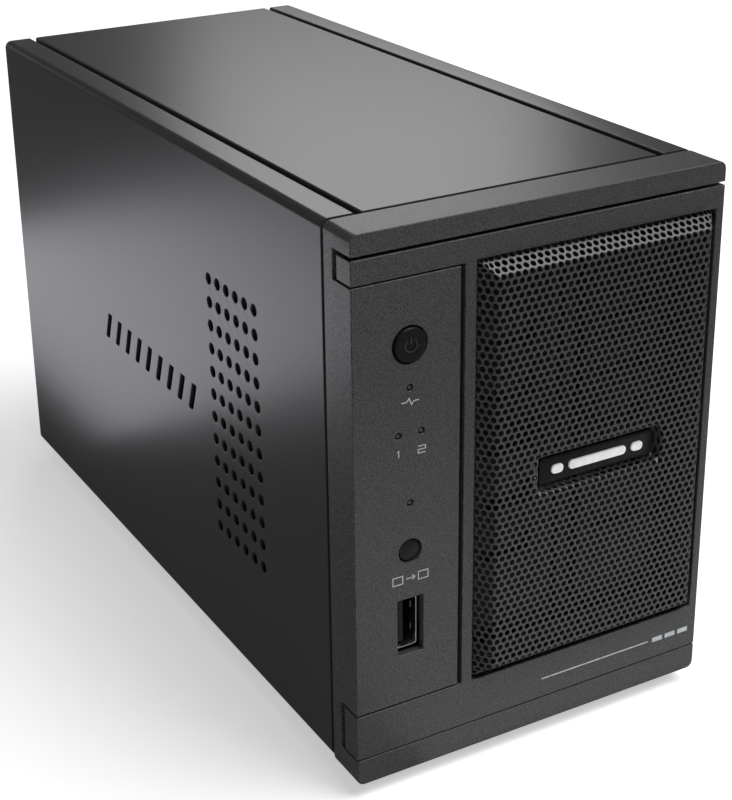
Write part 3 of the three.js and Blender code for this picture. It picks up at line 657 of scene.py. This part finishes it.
def folded_sheet(path, y0, y1, thickness, side, pierced=None, holes=()):
    """A sheet folded along a path in X and Z, thickened to the path's right (side 1) or left (side -1).
    One straight stretch of the path can be pierced with holes drawn in Y and Z."""
    bm = bmesh.new()
    turns = [(Vector(q) - Vector(p)).normalized() for p, q in zip(path, path[1:])]
    inner = []
    for i, (x, z) in enumerate(path):
        near = [turns[max(0, i - 1)], turns[min(i, len(turns) - 1)]]
        normals = [Vector((d.y, -d.x)) * side for d in near]
        middle = (normals[0] + normals[1]).normalized()
        inner.append((Vector((x, z)) + middle * thickness / middle.dot(normals[0])).to_tuple())
    outer_rows = [[bm.verts.new((x, y, z)) for y in (y0, y1)] for x, z in path]
    inner_rows = [[bm.verts.new((x, y, z)) for y in (y0, y1)] for x, z in inner]
    for i in range(len(path) - 1):
        walls = []
        for rows, line in ((outer_rows, path), (inner_rows, inner)):
            corners = [rows[i][0], rows[i][1], rows[i + 1][1], rows[i + 1][0]]
            if i != pierced:
                bm.faces.new(corners)
                continue
            loops = [{"points": [(v.co.y, v.co.z) for v in corners], "verts": corners}]
            for hole in holes:
                points = hole(0)
                verts = [bm.verts.new((line[i][0], y, z)) for y, z in points]
                loops.append({"points": points, "verts": verts})
            filled(bm, loops)
            walls.append(loops[1:])
        for outside, inside in zip(*walls) if walls else ():
            bridge(bm, outside["verts"], inside["verts"])
        for end in (0, 1):
            corners = ((outer_rows, i), (outer_rows, i + 1), (inner_rows, i + 1), (inner_rows, i))
            bm.faces.new([rows[k][end] for rows, k in corners])
    for i in (0, -1):
        bm.faces.new((outer_rows[i][0], outer_rows[i][1], inner_rows[i][1], inner_rows[i][0]))
    bmesh.ops.recalc_face_normals(bm, faces=bm.faces)
    round_edges(bm, 0.2, 2)
    return bm


def side_cover(side, name):
    """A cover folded over the top and under the case, with a small flange that closes the groove."""
    lip_end = span(name)[1].z - LIP_DEPTH
    bottom_end = SIDE - BOTTOM_RETURN
    half = [
        (GROOVE_NEAR - LIP_OVERLAP, lip_end),
        (GROOVE_FAR, lip_end),
        *arc(GROOVE_FAR + LIP_BEND, TOP - LIP_BEND, LIP_BEND, 180, 90, 4),
        *arc(SIDE - BEND, TOP - BEND, BEND, 90, 0, 8),
        *arc(SIDE - BEND, COVER_BOTTOM + BEND, BEND, 0, -90, 8),
        (bottom_end, COVER_BOTTOM),
    ]
    wall = next(i for i, (p, q) in enumerate(zip(half, half[1:])) if p[1] - q[1] > LONG_STRETCH)
    holes = [
        round_hole(VENT["y"] + column * VENT["step_y"], VENT["z"] + row * VENT["step_z"], VENT["radius"])
        for column in range(VENT["columns"]) for row in range(VENT["rows"])
    ]
    holes += [slanted_slot(SLOTS["y"] + i * SLOTS["step_y"], SLOTS["z"]) for i in range(SLOTS["count"])]
    bm = folded_sheet([(side * x, z) for x, z in half], COVER_FRONT, BACK, SHEET, side, wall, holes)
    even_normals(finished(name + "_folded", bm, PAINT, "case", (name,), outward=False))


def top_panel():
    lip = span("top_panel")[0].z
    half = [(GROOVE_NEAR, lip), *arc(GROOVE_NEAR - LIP_BEND, TOP - LIP_BEND, LIP_BEND, 0, 90, 6)]
    path = [*half, *((-x, z) for x, z in reversed(half))]
    bm = folded_sheet(path, COVER_FRONT, BACK, SHEET, -1)
    piece = finished("top_panel_folded", bm, PAINT, "case", ("top_panel",), outward=False)
    even_normals(piece)


side_cover(-1, "left_cover")
side_cover(1, "right_cover")
top_panel()


# -------- bezel and door

rounded_copy("bezel_frame", BEZEL, 0.24, 3)
rounded_copy("door_frame", BEZEL, 0.24, 3)


# -------- perforated grille

LATTICE = {"pitch": 1.907, "row": 1.72, "hole": 0.755}
GRILLE_SHEET = 0.4
GRILLE_RECESS = 1.4
SLOPE = {"run": 4.7, "rise": 4.7, "bends": (0.5, 2.0)}
POCKET = {
    "left": -3.6, "right": 33.5, "bottom": 69.8, "top": 80.3,
    "run": 1.3, "deep": 3.0, "bends": (0.5, 0.4),
}
WINDOW = {"left": -18.7, "right": 48.3, "bottom": 23.0, "top": 130.7}
FIT = 0.1


class Step:
    """A step in the sheet, seen in section: a bend, a straight slope and a bend back to flat."""

    def __init__(self, run, rise, first_bend, last_bend):
        self.run, self.rise = run, rise
        self.first, self.last = first_bend, last_bend
        bends = first_bend + last_bend
        left = bends - rise
        self.angle = math.atan2(run, left) - math.acos(bends / math.hypot(run, left))
        self.straight = (run - bends * math.sin(self.angle)) / math.cos(self.angle)
        self.length = self.straight + bends * self.angle

    def at(self, s):
        """How far along and how high the sheet is at distance s on it from the step's start."""
        first_end = self.first * self.angle
        if s <= 0:
            return s, 0.0
        if s < first_end:
            turn = s / self.first
            return self.first * math.sin(turn), self.first * (1 - math.cos(turn))
        if s < first_end + self.straight:
            part = s - first_end
            return (
                self.first * math.sin(self.angle) + part * math.cos(self.angle),
                self.first * (1 - math.cos(self.angle)) + part * math.sin(self.angle),
            )
        if s < self.length:
            turn = (self.length - s) / self.last
            return self.run - self.last * math.sin(turn), self.rise - self.last * (1 - math.cos(turn))
        return self.run + s - self.length, self.rise


def between_steps(step, low, high, s):
    """Position and depth at sheet distance s past low, between two facing steps from low and from high."""
    sheet = sheet_width(step, low, high)
    near = step.at(s)
    far = step.at(sheet - s)
    if s < sheet / 2:
        return low + near[0], near[1]
    return high - far[0], far[1]


def sheet_width(step, low, high):
    """How wide the flat sheet is that makes two facing steps between low and high."""
    return high - low + 2 * (step.length - step.run)


def grille_surface():
    """Returns the function from sheet coordinates to the grille's outer face, and the sheet's size."""
    crown = Step(SLOPE["run"], SLOPE["rise"], *SLOPE["bends"])
    dent = Step(POCKET["run"], POCKET["deep"], *POCKET["bends"])
    left, right = WINDOW["left"] + FIT, WINDOW["right"] - FIT
    bottom, top = WINDOW["bottom"] + FIT, WINDOW["top"] - FIT
    extra = sheet_width(crown, left, right) - (right - left)

    def pressed(value, low, high):
        """Where the bent sheet carries a coordinate inside the pocket, and how deep the pocket is there."""
        inside_low = value - low
        inside_high = high - value
        if inside_low <= 0 or inside_high <= 0:
            return value, 0.0
        reach = dent.length
        middle = (high - low) / 2
        nearest = min(inside_low, inside_high)
        along, deep = dent.at(nearest)
        if nearest > reach:
            along = dent.run + (nearest - reach) * (middle - dent.run) / (middle - reach)
        return (low + along, deep) if inside_low < inside_high else (high - along, deep)

    def place(u, v):
        x, lift_x = between_steps(crown, left, right, u)
        z, lift_z = between_steps(crown, bottom, top, v)
        lift = min(lift_x, lift_z)
        px, deep_x = pressed(x, POCKET["left"], POCKET["right"])
        pz, deep_z = pressed(z, POCKET["bottom"], POCKET["top"])
        deep = min(deep_x, deep_z)
        full = POCKET["deep"]
        moved_x = x + (px - x) * min(1, deep_z / full)
        moved_z = z + (pz - z) * min(1, deep_x / full)
        return Vector((moved_x, FRONT + GRILLE_RECESS - lift + deep, moved_z))

    return place, right - left + extra, top - bottom + extra


def grille():
    """The punched and formed sheet: staggered rows of holes over the crown and into the pocket."""
    place, wide, tall = grille_surface()
    pitch, row, hole = LATTICE["pitch"], LATTICE["row"], LATTICE["hole"]
    half_u, half_v = pitch / 2, row / 2
    margin = 1.0
    keys_per_mm = 500
    columns = math.ceil((wide + 2 * margin) / pitch)
    rows = math.ceil((tall + 2 * margin) / row)
    u0 = (wide - columns * pitch) / 2
    v0 = (tall - rows * row) / 2
    bm = bmesh.new()
    made = {}

    def normal(u, v):
        step = 0.05
        along = place(u + step, v) - place(u - step, v)
        up = place(u, v + step) - place(u, v - step)
        return up.cross(along).normalized()

    def vertices(u, v):
        """The front and back vertices at a sheet coordinate, made once."""
        key = (round(u * keys_per_mm), round(v * keys_per_mm))
        if key not in made:
            front = place(u, v)
            back = front + normal(u, v) * GRILLE_SHEET
            made[key] = (bm.verts.new(front), bm.verts.new(back))
        return made[key]

    def border(u, v):
        """Twelve points round a cell, so that staggered neighbours share them."""
        low = [(u + half_u * k / 2, v - half_v) for k in (-2, -1, 0, 1, 2)]
        high = [(u + half_u * k / 2, v + half_v) for k in (2, 1, 0, -1, -2)]
        return [*low, (u + half_u, v), *high, (u - half_u, v)]

    def cell(u, v):
        outline = border(u, v)
        corners = [vertices(*p) for p in outline]
        rim = []
        for a, b in outline:
            angle = math.atan2((b - v) / row, (a - u) / pitch)
            rim.append(vertices(u + hole * math.cos(angle), v + hole * math.sin(angle)))
        count = len(corners)
        for i in range(count):
            j = (i + 1) % count
            bm.faces.new((corners[i][0], corners[j][0], rim[j][0], rim[i][0]))
            bm.faces.new((corners[i][1], rim[i][1], rim[j][1], corners[j][1]))
            bm.faces.new((rim[i][0], rim[j][0], rim[j][1], rim[i][1]))

    def half_cell(u, v, side):
        """The plain half cell that squares off a staggered row's end."""
        quarter, end = u + side * half_u / 2, u + side * half_u
        low, high = v - half_v, v + half_v
        points = [
            (u, low), (quarter, low), (end, low), (end, v),
            (end, high), (quarter, high), (u, high), (u, v),
        ]
        if side < 0:
            points.reverse()
        corners = [vertices(*p) for p in points]
        bm.faces.new([c[0] for c in corners])
        bm.faces.new([c[1] for c in reversed(corners)])

    for r in range(rows):
        v = v0 + (r + 0.5) * row
        shift = half_u if r % 2 else 0
        for c in range(columns - (1 if r % 2 else 0)):
            cell(u0 + shift + (c + 0.5) * pitch, v)
        if r % 2:
            half_cell(u0, v, 1)
            half_cell(u0 + columns * pitch, v, -1)
    rim_edges = [e for e in bm.edges if len(e.link_faces) == 1]
    fronts = {pair[0]: pair[1] for pair in made.values()}
    for edge in rim_edges:
        a, b = edge.verts
        if a in fronts and b in fronts:
            bm.faces.new((a, b, fronts[b], fronts[a]))
    finished("door_grille_punched", bm, GRILLE, "door", ("door_grille",), 30)


grille()


# -------- badge: a plain plate with a plain inlay

# The bars' ends, as shares of the badge's width.
BARS = ((0.10, 0.20), (0.25, 0.75), (0.80, 0.90))
BAR_HALF = 1.15
BAR_PROUD = 0.5


def badge():
    low, high = span("badge_plate")
    bm = bmesh.new()
    outline = box_outline(low.x, high.x, low.z, high.z, 1.0)
    plate(bm, outline, [], in_front_view(low.y), high.y - low.y, 0.2)
    finished("badge_plate_finish", bm, BLACK, "door", ("badge_plate",))
    bm = bmesh.new()
    middle = (low.z + high.z) / 2
    width = high.x - low.x
    for first, last in BARS:
        left, right = low.x + first * width, low.x + last * width
        outline = box_outline(left, right, middle - BAR_HALF, middle + BAR_HALF, BAR_HALF - 0.15)
        plate(bm, outline, [], in_front_view(low.y - BAR_PROUD), BAR_PROUD + 0.1, 0.15)
    finished("badge_inlay", bm, INLAY, "door")


badge()


# -------- buttons, lights and printed marks

def button_cap(node, hole, cap, dish):
    """A turned cap, dished in by dish or crowned where dish is negative, on a flange and a stem."""
    low, high = span(node)
    deep = high.y - low.y
    skirt, stem = 2.6, 1.4
    flange, flange_end = hole + 0.7, deep - 0.5
    bm = bmesh.new()
    lathe(bm, [
        (0, dish), (cap * 0.55, dish * 0.75), (cap * 0.86, 0.02), (cap * 0.95, 0.05), (cap, 0.32),
        (cap, skirt), (flange, skirt), (flange, flange_end), (stem, flange_end), (stem, deep), (0, deep),
    ], (CONTROLS_X, low.y, (low.z + high.z) / 2), (0, 1, 0), 48)
    finished(node + "_cap", bm, BLACK, node, (node,))


def power_mark():
    """The standby symbol, moulded in low relief."""
    low, high = span("power_button")
    z = (low.z + high.z) / 2
    line, relief = 0.42, 0.3
    bm = bmesh.new()
    place = in_front_view(low.y + 0.12)
    ribbon(bm, [(CONTROLS_X + a, z + b) for a, b in arc(0, 0, 1.55, 125, 415, 28)], line, place, relief)
    ribbon(bm, [(CONTROLS_X, z + 0.35), (CONTROLS_X, z + 2.0)], line, place, relief)
    finished("power_mark", bm, TRAY_PLASTIC, "power_button")


button_cap("power_button", hole=4.5, cap=4.1, dish=0.16)
button_cap("backup_button", hole=3.05, cap=2.7, dish=-0.12)
power_mark()

LIGHTS = {
    node: ((span(node)[0].x + span(node)[1].x) / 2, (span(node)[0].z + span(node)[1].z) / 2)
    for node in ("activity_light", "disk_1_light", "disk_2_light", "backup_light")
}


def light_rod(node):
    low, high = span(node)
    x, z = LIGHTS[node]
    deep = high.y - low.y
    radius = 0.55
    profile = [(0, 0), (0.35, 0.06), (radius, 0.3), (radius, deep), (0, deep)]
    bm = bmesh.new()
    lathe(bm, profile, (x, low.y, z), (0, 1, 0), 20)
    finished(node + "_rod", bm, PIPE, "case", (node,))


for light in LIGHTS:
    light_rod(light)


# How far the marks stand below the light or button that they belong to.
PULSE_BELOW = 3.3
NUMERAL_BELOW = 4.5
BACKUP_BELOW = 7.0


def printed_marks():
    """Numerals for the two disks, and plain icons for activity and backup."""
    ink = 0.24
    surface = in_front_view(FRONT)
    bm = bmesh.new()

    def draw(points, x, z, closed=False):
        ribbon(bm, [(x + a, z + b) for a, b in points], ink, surface, closed=closed)

    # activity: a pulse line
    x, z = LIGHTS["activity_light"]
    draw([(-2.3, 0), (-0.9, 0), (-0.3, 0.8), (0.35, -0.8), (0.9, 0), (2.3, 0)], x, z - PULSE_BELOW)
    # numerals under the disk lights
    x, z = LIGHTS["disk_1_light"]
    draw([(-0.35, 0.55), (0, 0.85), (0, -0.85)], x, z - NUMERAL_BELOW)
    x, z = LIGHTS["disk_2_light"]
    two = [(-0.95, 0.85), (0.95, 0.85), (0.95, 0.0), (-0.95, 0.0), (-0.95, -0.85), (0.95, -0.85)]
    draw(two, x, z - NUMERAL_BELOW)
    # backup: two sheets side by side, and an arrow from one to the other
    low, high = span("backup_button")
    x, z = CONTROLS_X, (low.z + high.z) / 2 - BACKUP_BELOW
    for centre in (-3.4, 3.4):
        draw([(-1.3, -1), (1.3, -1), (1.3, 1), (-1.3, 1)], x + centre, z, closed=True)
    draw([(-1.2, 0), (1.1, 0)], x, z)
    draw([(0.45, 0.65), (1.2, 0), (0.45, -0.65)], x, z)
    finished("printed_marks", bm, PRINT, "case")


def door_stripe():
    """A plain pale line and dashes along the foot of the door, placed back from its right end."""
    z, right = 16.4, 48.0
    dash_start, dash_pitch, dash_length = 11.5, 4.1, 3.2
    bm = bmesh.new()
    surface = in_front_view(FRONT)
    ribbon(bm, [(right - 46, z), (right - 13, z)], 0.35, surface)
    for i in range(3):
        start = right - dash_start + i * dash_pitch
        ribbon(bm, [(start, z), (start + dash_length, z)], 1.3, surface)
    finished("door_stripe", bm, PRINT, "door")


printed_marks()
door_stripe()


# -------- sockets

USB_WALL = 0.4
# A spring leaf's distance from the mouth and lift off the wall, along its length.
LEAF_PROFILE = ((2.2, 0.0), (5.0, 0.55), (6.2, 0.65), (7.2, 0.35))
LEAF = {"offset": 3.0, "half": 0.8, "sheet": 0.2}
CONTACT = {"count": 4, "first": -3.5, "spread": 7, "half": 0.5, "proud": 0.12, "start": 1.0, "end": 8.0}


def spring_leaf(bm, view, wall, inward, z):
    """A bent strip pressed in from a socket's wide side."""
    half, sheet = LEAF["half"], inward * LEAF["sheet"]
    loops = []
    for distance, lift in LEAF_PROFILE:
        x = wall + inward * lift
        section = [(x, z - half), (x, z + half), (x + sheet, z + half), (x + sheet, z - half)]
        loops.append(loop_vertices(bm, section, distance, view))
    skin(bm, loops)


def usb_view(node):
    """The view into a socket's mouth, at the case's front or back."""
    low, high = span(node)
    return in_front_view(low.y) if low.y < 0 else in_rear_view(high.y)


def usb_socket(shell, tongue, number):
    """A rolled steel shell with two spring leaves on each wide side, and a tongue with four contacts."""
    low, high = span(shell)
    body = frame["nodes"][shell]["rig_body"]
    view = usb_view(shell)
    deep = high.y - low.y
    wall = USB_WALL
    bm = bmesh.new()
    outline = box_outline(low.x, high.x, low.z, high.z, 0.7)
    inner = box_outline(low.x + wall, high.x - wall, low.z + wall, high.z - wall, 0.4)
    plate(bm, outline, [inner], view, deep, 0.12)
    middle = (low.z + high.z) / 2
    for wide_side, inward in ((low.x + wall, 1), (high.x - wall, -1)):
        for z in (middle - LEAF["offset"], middle + LEAF["offset"]):
            spring_leaf(bm, view, wide_side, inward, z)
    block(bm, view(low.x + wall, low.z + wall, deep - 0.6), view(high.x - wall, high.z - wall, deep - 0.1))
    finished(f"usb_shell_{number}", bm, BRIGHT, body, (shell,), 30)
    low, high = span(tongue)
    bm = bmesh.new()
    view = usb_view(tongue)
    plate(bm, box_outline(low.x, high.x, low.z, high.z, 0.3), [], view, high.y - low.y, 0.25)
    finished(f"usb_tongue_{number}", bm, BLACK, body, (tongue,))
    bm = bmesh.new()
    middle = (low.z + high.z) / 2
    for i in range(CONTACT["count"]):
        z = middle + CONTACT["first"] + i * CONTACT["spread"] / (CONTACT["count"] - 1)
        first = view(high.x, z - CONTACT["half"], CONTACT["start"])
        last = view(high.x + CONTACT["proud"], z + CONTACT["half"], CONTACT["end"])
        block(bm, first, last)
    finished(f"usb_contacts_{number}", bm, GOLD, body)


for number, (shell, tongue) in enumerate((
    ("front_usb_shell", "front_usb_tongue"),
    ("rear_usb_shell_1", "rear_usb_tongue_1"),
    ("rear_usb_shell_2", "rear_usb_tongue_2"),
), 1):
    usb_socket(shell, tongue, number)


# A sprung wire's distance from the socket's left side and depth behind its first point.
WIRE_ROUTE = ((2.3, 0), (2.5, 1.0), (5.2, 6.5), (5.4, 8.5))
WIRE = {"count": 8, "first": -3.57, "pitch": 1.02, "inset": 2.6, "radius": 0.16}


def ethernet_contacts():
    """Eight sprung wires across the socket."""
    low, high = span("ethernet_jack")
    middle = (low.z + high.z) / 2
    start = high.y - WIRE["inset"]
    bm = bmesh.new()
    for i in range(WIRE["count"]):
        z = middle + WIRE["first"] + i * WIRE["pitch"]
        tube(bm, [(low.x + across, start - deep, z) for across, deep in WIRE_ROUTE], WIRE["radius"], 6)
    finished("ethernet_contacts", bm, GOLD, "case")


ethernet_contacts()
rounded_copy("ethernet_jack", BRIGHT, 0.2, 2)
rounded_copy("power_inlet", BLACK, 0.2, 2)


# -------- fan, guard and rear panel

FAN_LOW, FAN_HIGH = span("fan_frame")
FAN_X = (FAN_LOW.x + FAN_HIGH.x) / 2
FAN_Z = (FAN_LOW.z + FAN_HIGH.z) / 2
FAN_BORE = 33.0
FAN_HUB = 13.0
SCREW_SPREAD = 30.75
GUARD = {"wire": 0.55, "disc": 3.6, "first": 8.0, "pitch": 4.9, "rings": 6, "eye": 2.65, "spoke_inset": 2.4}
BLADES = 7
BLADE_STATIONS = 6
BLADE_STEPS = 8
# A blade's chord, pitch in degrees and sweep at its root, and what each gains by its tip.
BLADE = {"chord": 12.5, "chord_gain": 3.5, "pitch": 40, "pitch_gain": -14, "sweep_gain": 0.22, "camber": 1.1}


def fan_corners():
    return [(FAN_X + u * SCREW_SPREAD, FAN_Z + v * SCREW_SPREAD) for u in (-1, 1) for v in (-1, 1)]


def fan_guard():
    """Welded round wire: rings on diagonal spokes that end in flattened eyes."""
    low, high = span("fan_guard")
    wire = GUARD["wire"]
    y = low.y + wire
    bm = bmesh.new()
    for i in range(GUARD["rings"]):
        radius = GUARD["first"] + i * GUARD["pitch"]
        tube(bm, [(x, y, z) for x, z in ring(FAN_X, FAN_Z, radius, 72)], wire, 10, closed=True)
    reach = math.hypot(SCREW_SPREAD, SCREW_SPREAD) - GUARD["spoke_inset"]
    for angle in (45, 135):
        way = Vector((math.cos(math.radians(angle)), 0, math.sin(math.radians(angle))))
        middle = Vector((FAN_X, y - 0.1, FAN_Z))
        tube(bm, [middle - way * reach, middle - way * 4, middle + way * 4, middle + way * reach], wire, 10)
    for x, z in fan_corners():
        tube(bm, [(a, y - 0.05, b) for a, b in ring(x, z, GUARD["eye"], 28)], wire * 0.9, 8, closed=True)
    plate(bm, round_hole(FAN_X, FAN_Z, GUARD["disc"], 32), [], in_rear_view(low.y + 1.0), 0.9, 0.2)
    finished("fan_guard_wire", bm, BRIGHT, "case", ("fan_guard",), 50)


def blade_section(radius, share, turn, middle):
    """A blade's outline at a radius that is a share of the way from its root to its tip."""
    chord = BLADE["chord"] + BLADE["chord_gain"] * share
    pitch = math.radians(BLADE["pitch"] + BLADE["pitch_gain"] * share)
    sweep = turn + BLADE["sweep_gain"] * share
    top, bottom = [], []
    for k in range(BLADE_STEPS + 1):
        s = k / BLADE_STEPS - 0.5
        camber = BLADE["camber"] * (1 - 4 * s * s)
        half = 0.55 * math.sqrt(max(0.05, 1 - 4 * s * s)) + 0.1
        for line, lift in ((top, half), (bottom, -half)):
            around = s * chord * math.cos(pitch) - (camber + lift) * math.sin(pitch)
            along = s * chord * math.sin(pitch) + (camber + lift) * math.cos(pitch)
            angle = sweep + around / radius
            x, z = FAN_X + radius * math.cos(angle), FAN_Z + radius * math.sin(angle)
            line.append(Vector((x, middle + along, z)))
    return [*top, *reversed(bottom)]


def fan_rotor():
    """A hub with seven cambered and swept blades."""
    low, high = span("fan_rotor")
    deep = high.y - low.y
    hub_end, shaft = deep - 1.6, 1.4
    bm = bmesh.new()
    lathe(bm, [
        (0, 0.4), (FAN_HUB - 1.6, 0.4), (FAN_HUB - 0.5, 0.8), (FAN_HUB, 1.8), (FAN_HUB, hub_end),
        (shaft, hub_end), (shaft, deep), (0, deep),
    ], (FAN_X, low.y, FAN_Z), (0, 1, 0), 48)
    middle = low.y + 6.3
    root, tip = FAN_HUB - 0.6, FAN_BORE - 1.8
    shares = [i / BLADE_STATIONS for i in range(BLADE_STATIONS + 1)]
    for blade in range(BLADES):
        turn = 2 * math.pi * blade / BLADES
        sections = []
        for share in shares:
            outline = blade_section(root + (tip - root) * share, share, turn, middle)
            sections.append([bm.verts.new(p) for p in outline])
        skin(bm, sections)
    finished("fan_rotor_blades", bm, BLACK, "fan_rotor", ("fan_rotor",), 45)


def fan_screw(number, x, z):
    """A pan head with a cross recess."""
    low, high = span(f"fan_screw_{number}")
    deep = high.y - low.y
    thread = 1.5
    bm = bmesh.new()

    def cross(offset):
        arm, half = 1.35 + offset, 0.3 + offset
        quarter = [(half, half), (half, arm), (-half, arm)]
        return [
            (x + a * math.cos(t) - b * math.sin(t), z + a * math.sin(t) + b * math.cos(t))
            for t in (0, math.pi / 2, math.pi, 3 * math.pi / 2) for a, b in quarter
        ]

    plate(bm, round_hole(x, z, 2.9, 36), [cross], in_rear_view(high.y), 0.7, 0.3)
    profile = [(0, 0.45), (thread, 0.45), (thread, deep - 0.3), (1.2, deep), (0, deep)]
    lathe(bm, profile, (x, high.y, z), (0, -1, 0), 20)
    finished(f"fan_screw_head_{number}", bm, STEEL, "case", (f"fan_screw_{number}",))


fan_guard()
fan_rotor()
for number, (x, z) in enumerate(fan_corners(), 1):
    fan_screw(number, x, z)
rounded_copy("fan_frame", BLACK, 0.3, 2)
rounded_copy("rear_panel", PAINT, 0.2, 2)
rounded_copy("reset_button", BLACK, 0.15, 2)


# -------- trays, disks and the inside

for bay in (1, 2):
    rounded_copy(f"tray_{bay}", TRAY_PLASTIC, 0.3, 2)
    rounded_copy(f"tray_handle_{bay}", BLACK, 0.45, 3)
    rounded_copy(f"hard_disk_{bay}", DISK, 0.6, 2)
    dressed(f"disk_socket_{bay}", BLACK)

# The chassis takes the covers' dark paint in place of its bare plated steel, so that the groove and the
# vents look black: painted shade.
dressed("chassis", PAINT)
for node in ("drive_cage", "strike_plate", "hinge_pin_top", "hinge_pin_bottom"):
    dressed(node, STEEL)
for node in ("main_board", "front_board", "backplane"):
    dressed(node, BOARD)
for node in ("processor", "power_switch", "backup_switch", "reset_switch"):
    dressed(node, BLACK)
dressed("door_magnet", BRIGHT)
rounded_copy("heatsink", STEEL, 0.2, 1)


def foot(node):
    """A turned rubber foot with a shallow hollow in its sole."""
    low, high = span(node)
    centre = (low + high) / 2
    radius = (high.x - low.x) / 2
    plug = radius - 2
    bm = bmesh.new()
    lathe(bm, [
        (0, 0.5), (radius - 3.0, 0.5), (radius - 2.6, 0.08), (radius - 2.2, 0), (radius - 1.3, 0),
        (radius - 0.8, 0.15), (radius - 0.5, 0.6), (radius - 0.05, 3.4), (radius - 0.25, 3.75),
        (plug, 3.9), (plug, high.z), (0, high.z),
    ], (centre.x, centre.y, 0), (0, 0, 1), 40)
    finished(node + "_turned", bm, RUBBER, "case", (node,))


for node in sorted(n for n in frame["nodes"] if n.startswith("foot_")):
    foot(node)


# -------- floor, light and camera

CAMERA = {
    "place": (-213.5, -400.1, 257.6),
    "azimuth": -28.24,
    "elevation": 21.85,
    "roll": 1.24,
    "lens": 76.9,
    "shift": (0.05, -0.10),
}


def floor():
    bm = bmesh.new()
    bmesh.ops.create_grid(bm, x_segments=1, y_segments=1, size=4)
    mesh = bpy.data.meshes.new("floor")
    bm.to_mesh(mesh)
    bm.free()
    obj = bpy.data.objects.new("floor", mesh)
    SCENE.collection.objects.link(obj)
    material, shader = principled("pale_floor", (0.9, 0.9, 0.9), 0.8)
    shader.inputs["Specular IOR Level"].default_value = 0.2
    shader.inputs["Emission Color"].default_value = (1, 1, 1, 1)
    shader.inputs["Emission Strength"].default_value = 0.5
    obj.data.materials.append(material)
    obj.visible_glossy = False


def area_light(name, place, target, size, radiance, tint=(1, 1, 1)):
    """A soft rectangular lamp. Its place, target and size are in metres, its brightness is a radiance."""
    data = bpy.data.lights.new(name, "AREA")
    data.shape = "RECTANGLE"
    data.size, data.size_y = size
    data.energy = radiance * math.pi * size[0] * size[1]
    data.color = tint
    lamp = bpy.data.objects.new(name, data)
    lamp.location = place
    lamp.rotation_mode = "QUATERNION"
    lamp.rotation_quaternion = (Vector(target) - Vector(place)).to_track_quat("-Z", "Y")
    lamp.visible_camera = False
    SCENE.collection.objects.link(lamp)


def light_scene():
    world = bpy.data.worlds.new("studio")
    world.use_nodes = True
    background = world.node_tree.nodes["Background"]
    background.inputs["Color"].default_value = (1, 1, 1, 1)
    background.inputs["Strength"].default_value = 0.08
    SCENE.world = world
    area_light("key", (0.45, -0.5, 1.3), (0, 0, 0.05), (1.1, 1.1), 5.2)
    area_light("back_softbox", (0.54, 0.91, 0.63), (0, 0, 0.14), (0.35, 0.42), 2.35)
    # The reflectors lie just above the floor and shine up, in place of the floor's own reflection.
    cool = (0.96, 0.96, 1.04)
    area_light("left_reflector", (-0.17, 0.225, 0.002), (-0.17, 0.225, 1), (0.19, 0.24), 1.5, cool)
    area_light("rear_fill", (0.0, 1.1, 0.14), (0, 0, 0.1), (0.5, 0.2), 2.4)
    area_light("front_reflector", (0.09, -0.175, 0.002), (0.09, -0.175, 1), (0.24, 0.13), 0.45)


def add_camera():
    data = bpy.data.cameras.new("photo_view")
    data.lens = CAMERA["lens"]
    data.sensor_width = 36
    data.shift_x, data.shift_y = CAMERA["shift"]
    data.clip_start, data.clip_end = 0.01, 20
    camera = bpy.data.objects.new("photo_view", data)
    azimuth, elevation = math.radians(CAMERA["azimuth"]), math.radians(CAMERA["elevation"])
    level = math.cos(elevation)
    back = Vector((math.sin(azimuth) * level, -math.cos(azimuth) * level, math.sin(elevation)))
    camera.location = Vector(CAMERA["place"]) * MM
    camera.rotation_mode = "QUATERNION"
    upright = (-back).to_track_quat("-Z", "Y")
    camera.rotation_quaternion = upright @ Quaternion((0, 0, 1), math.radians(-CAMERA["roll"]))
    SCENE.collection.objects.link(camera)
    SCENE.camera = camera


SCENE.view_settings.view_transform = "Standard"
floor()
light_scene()
add_camera()
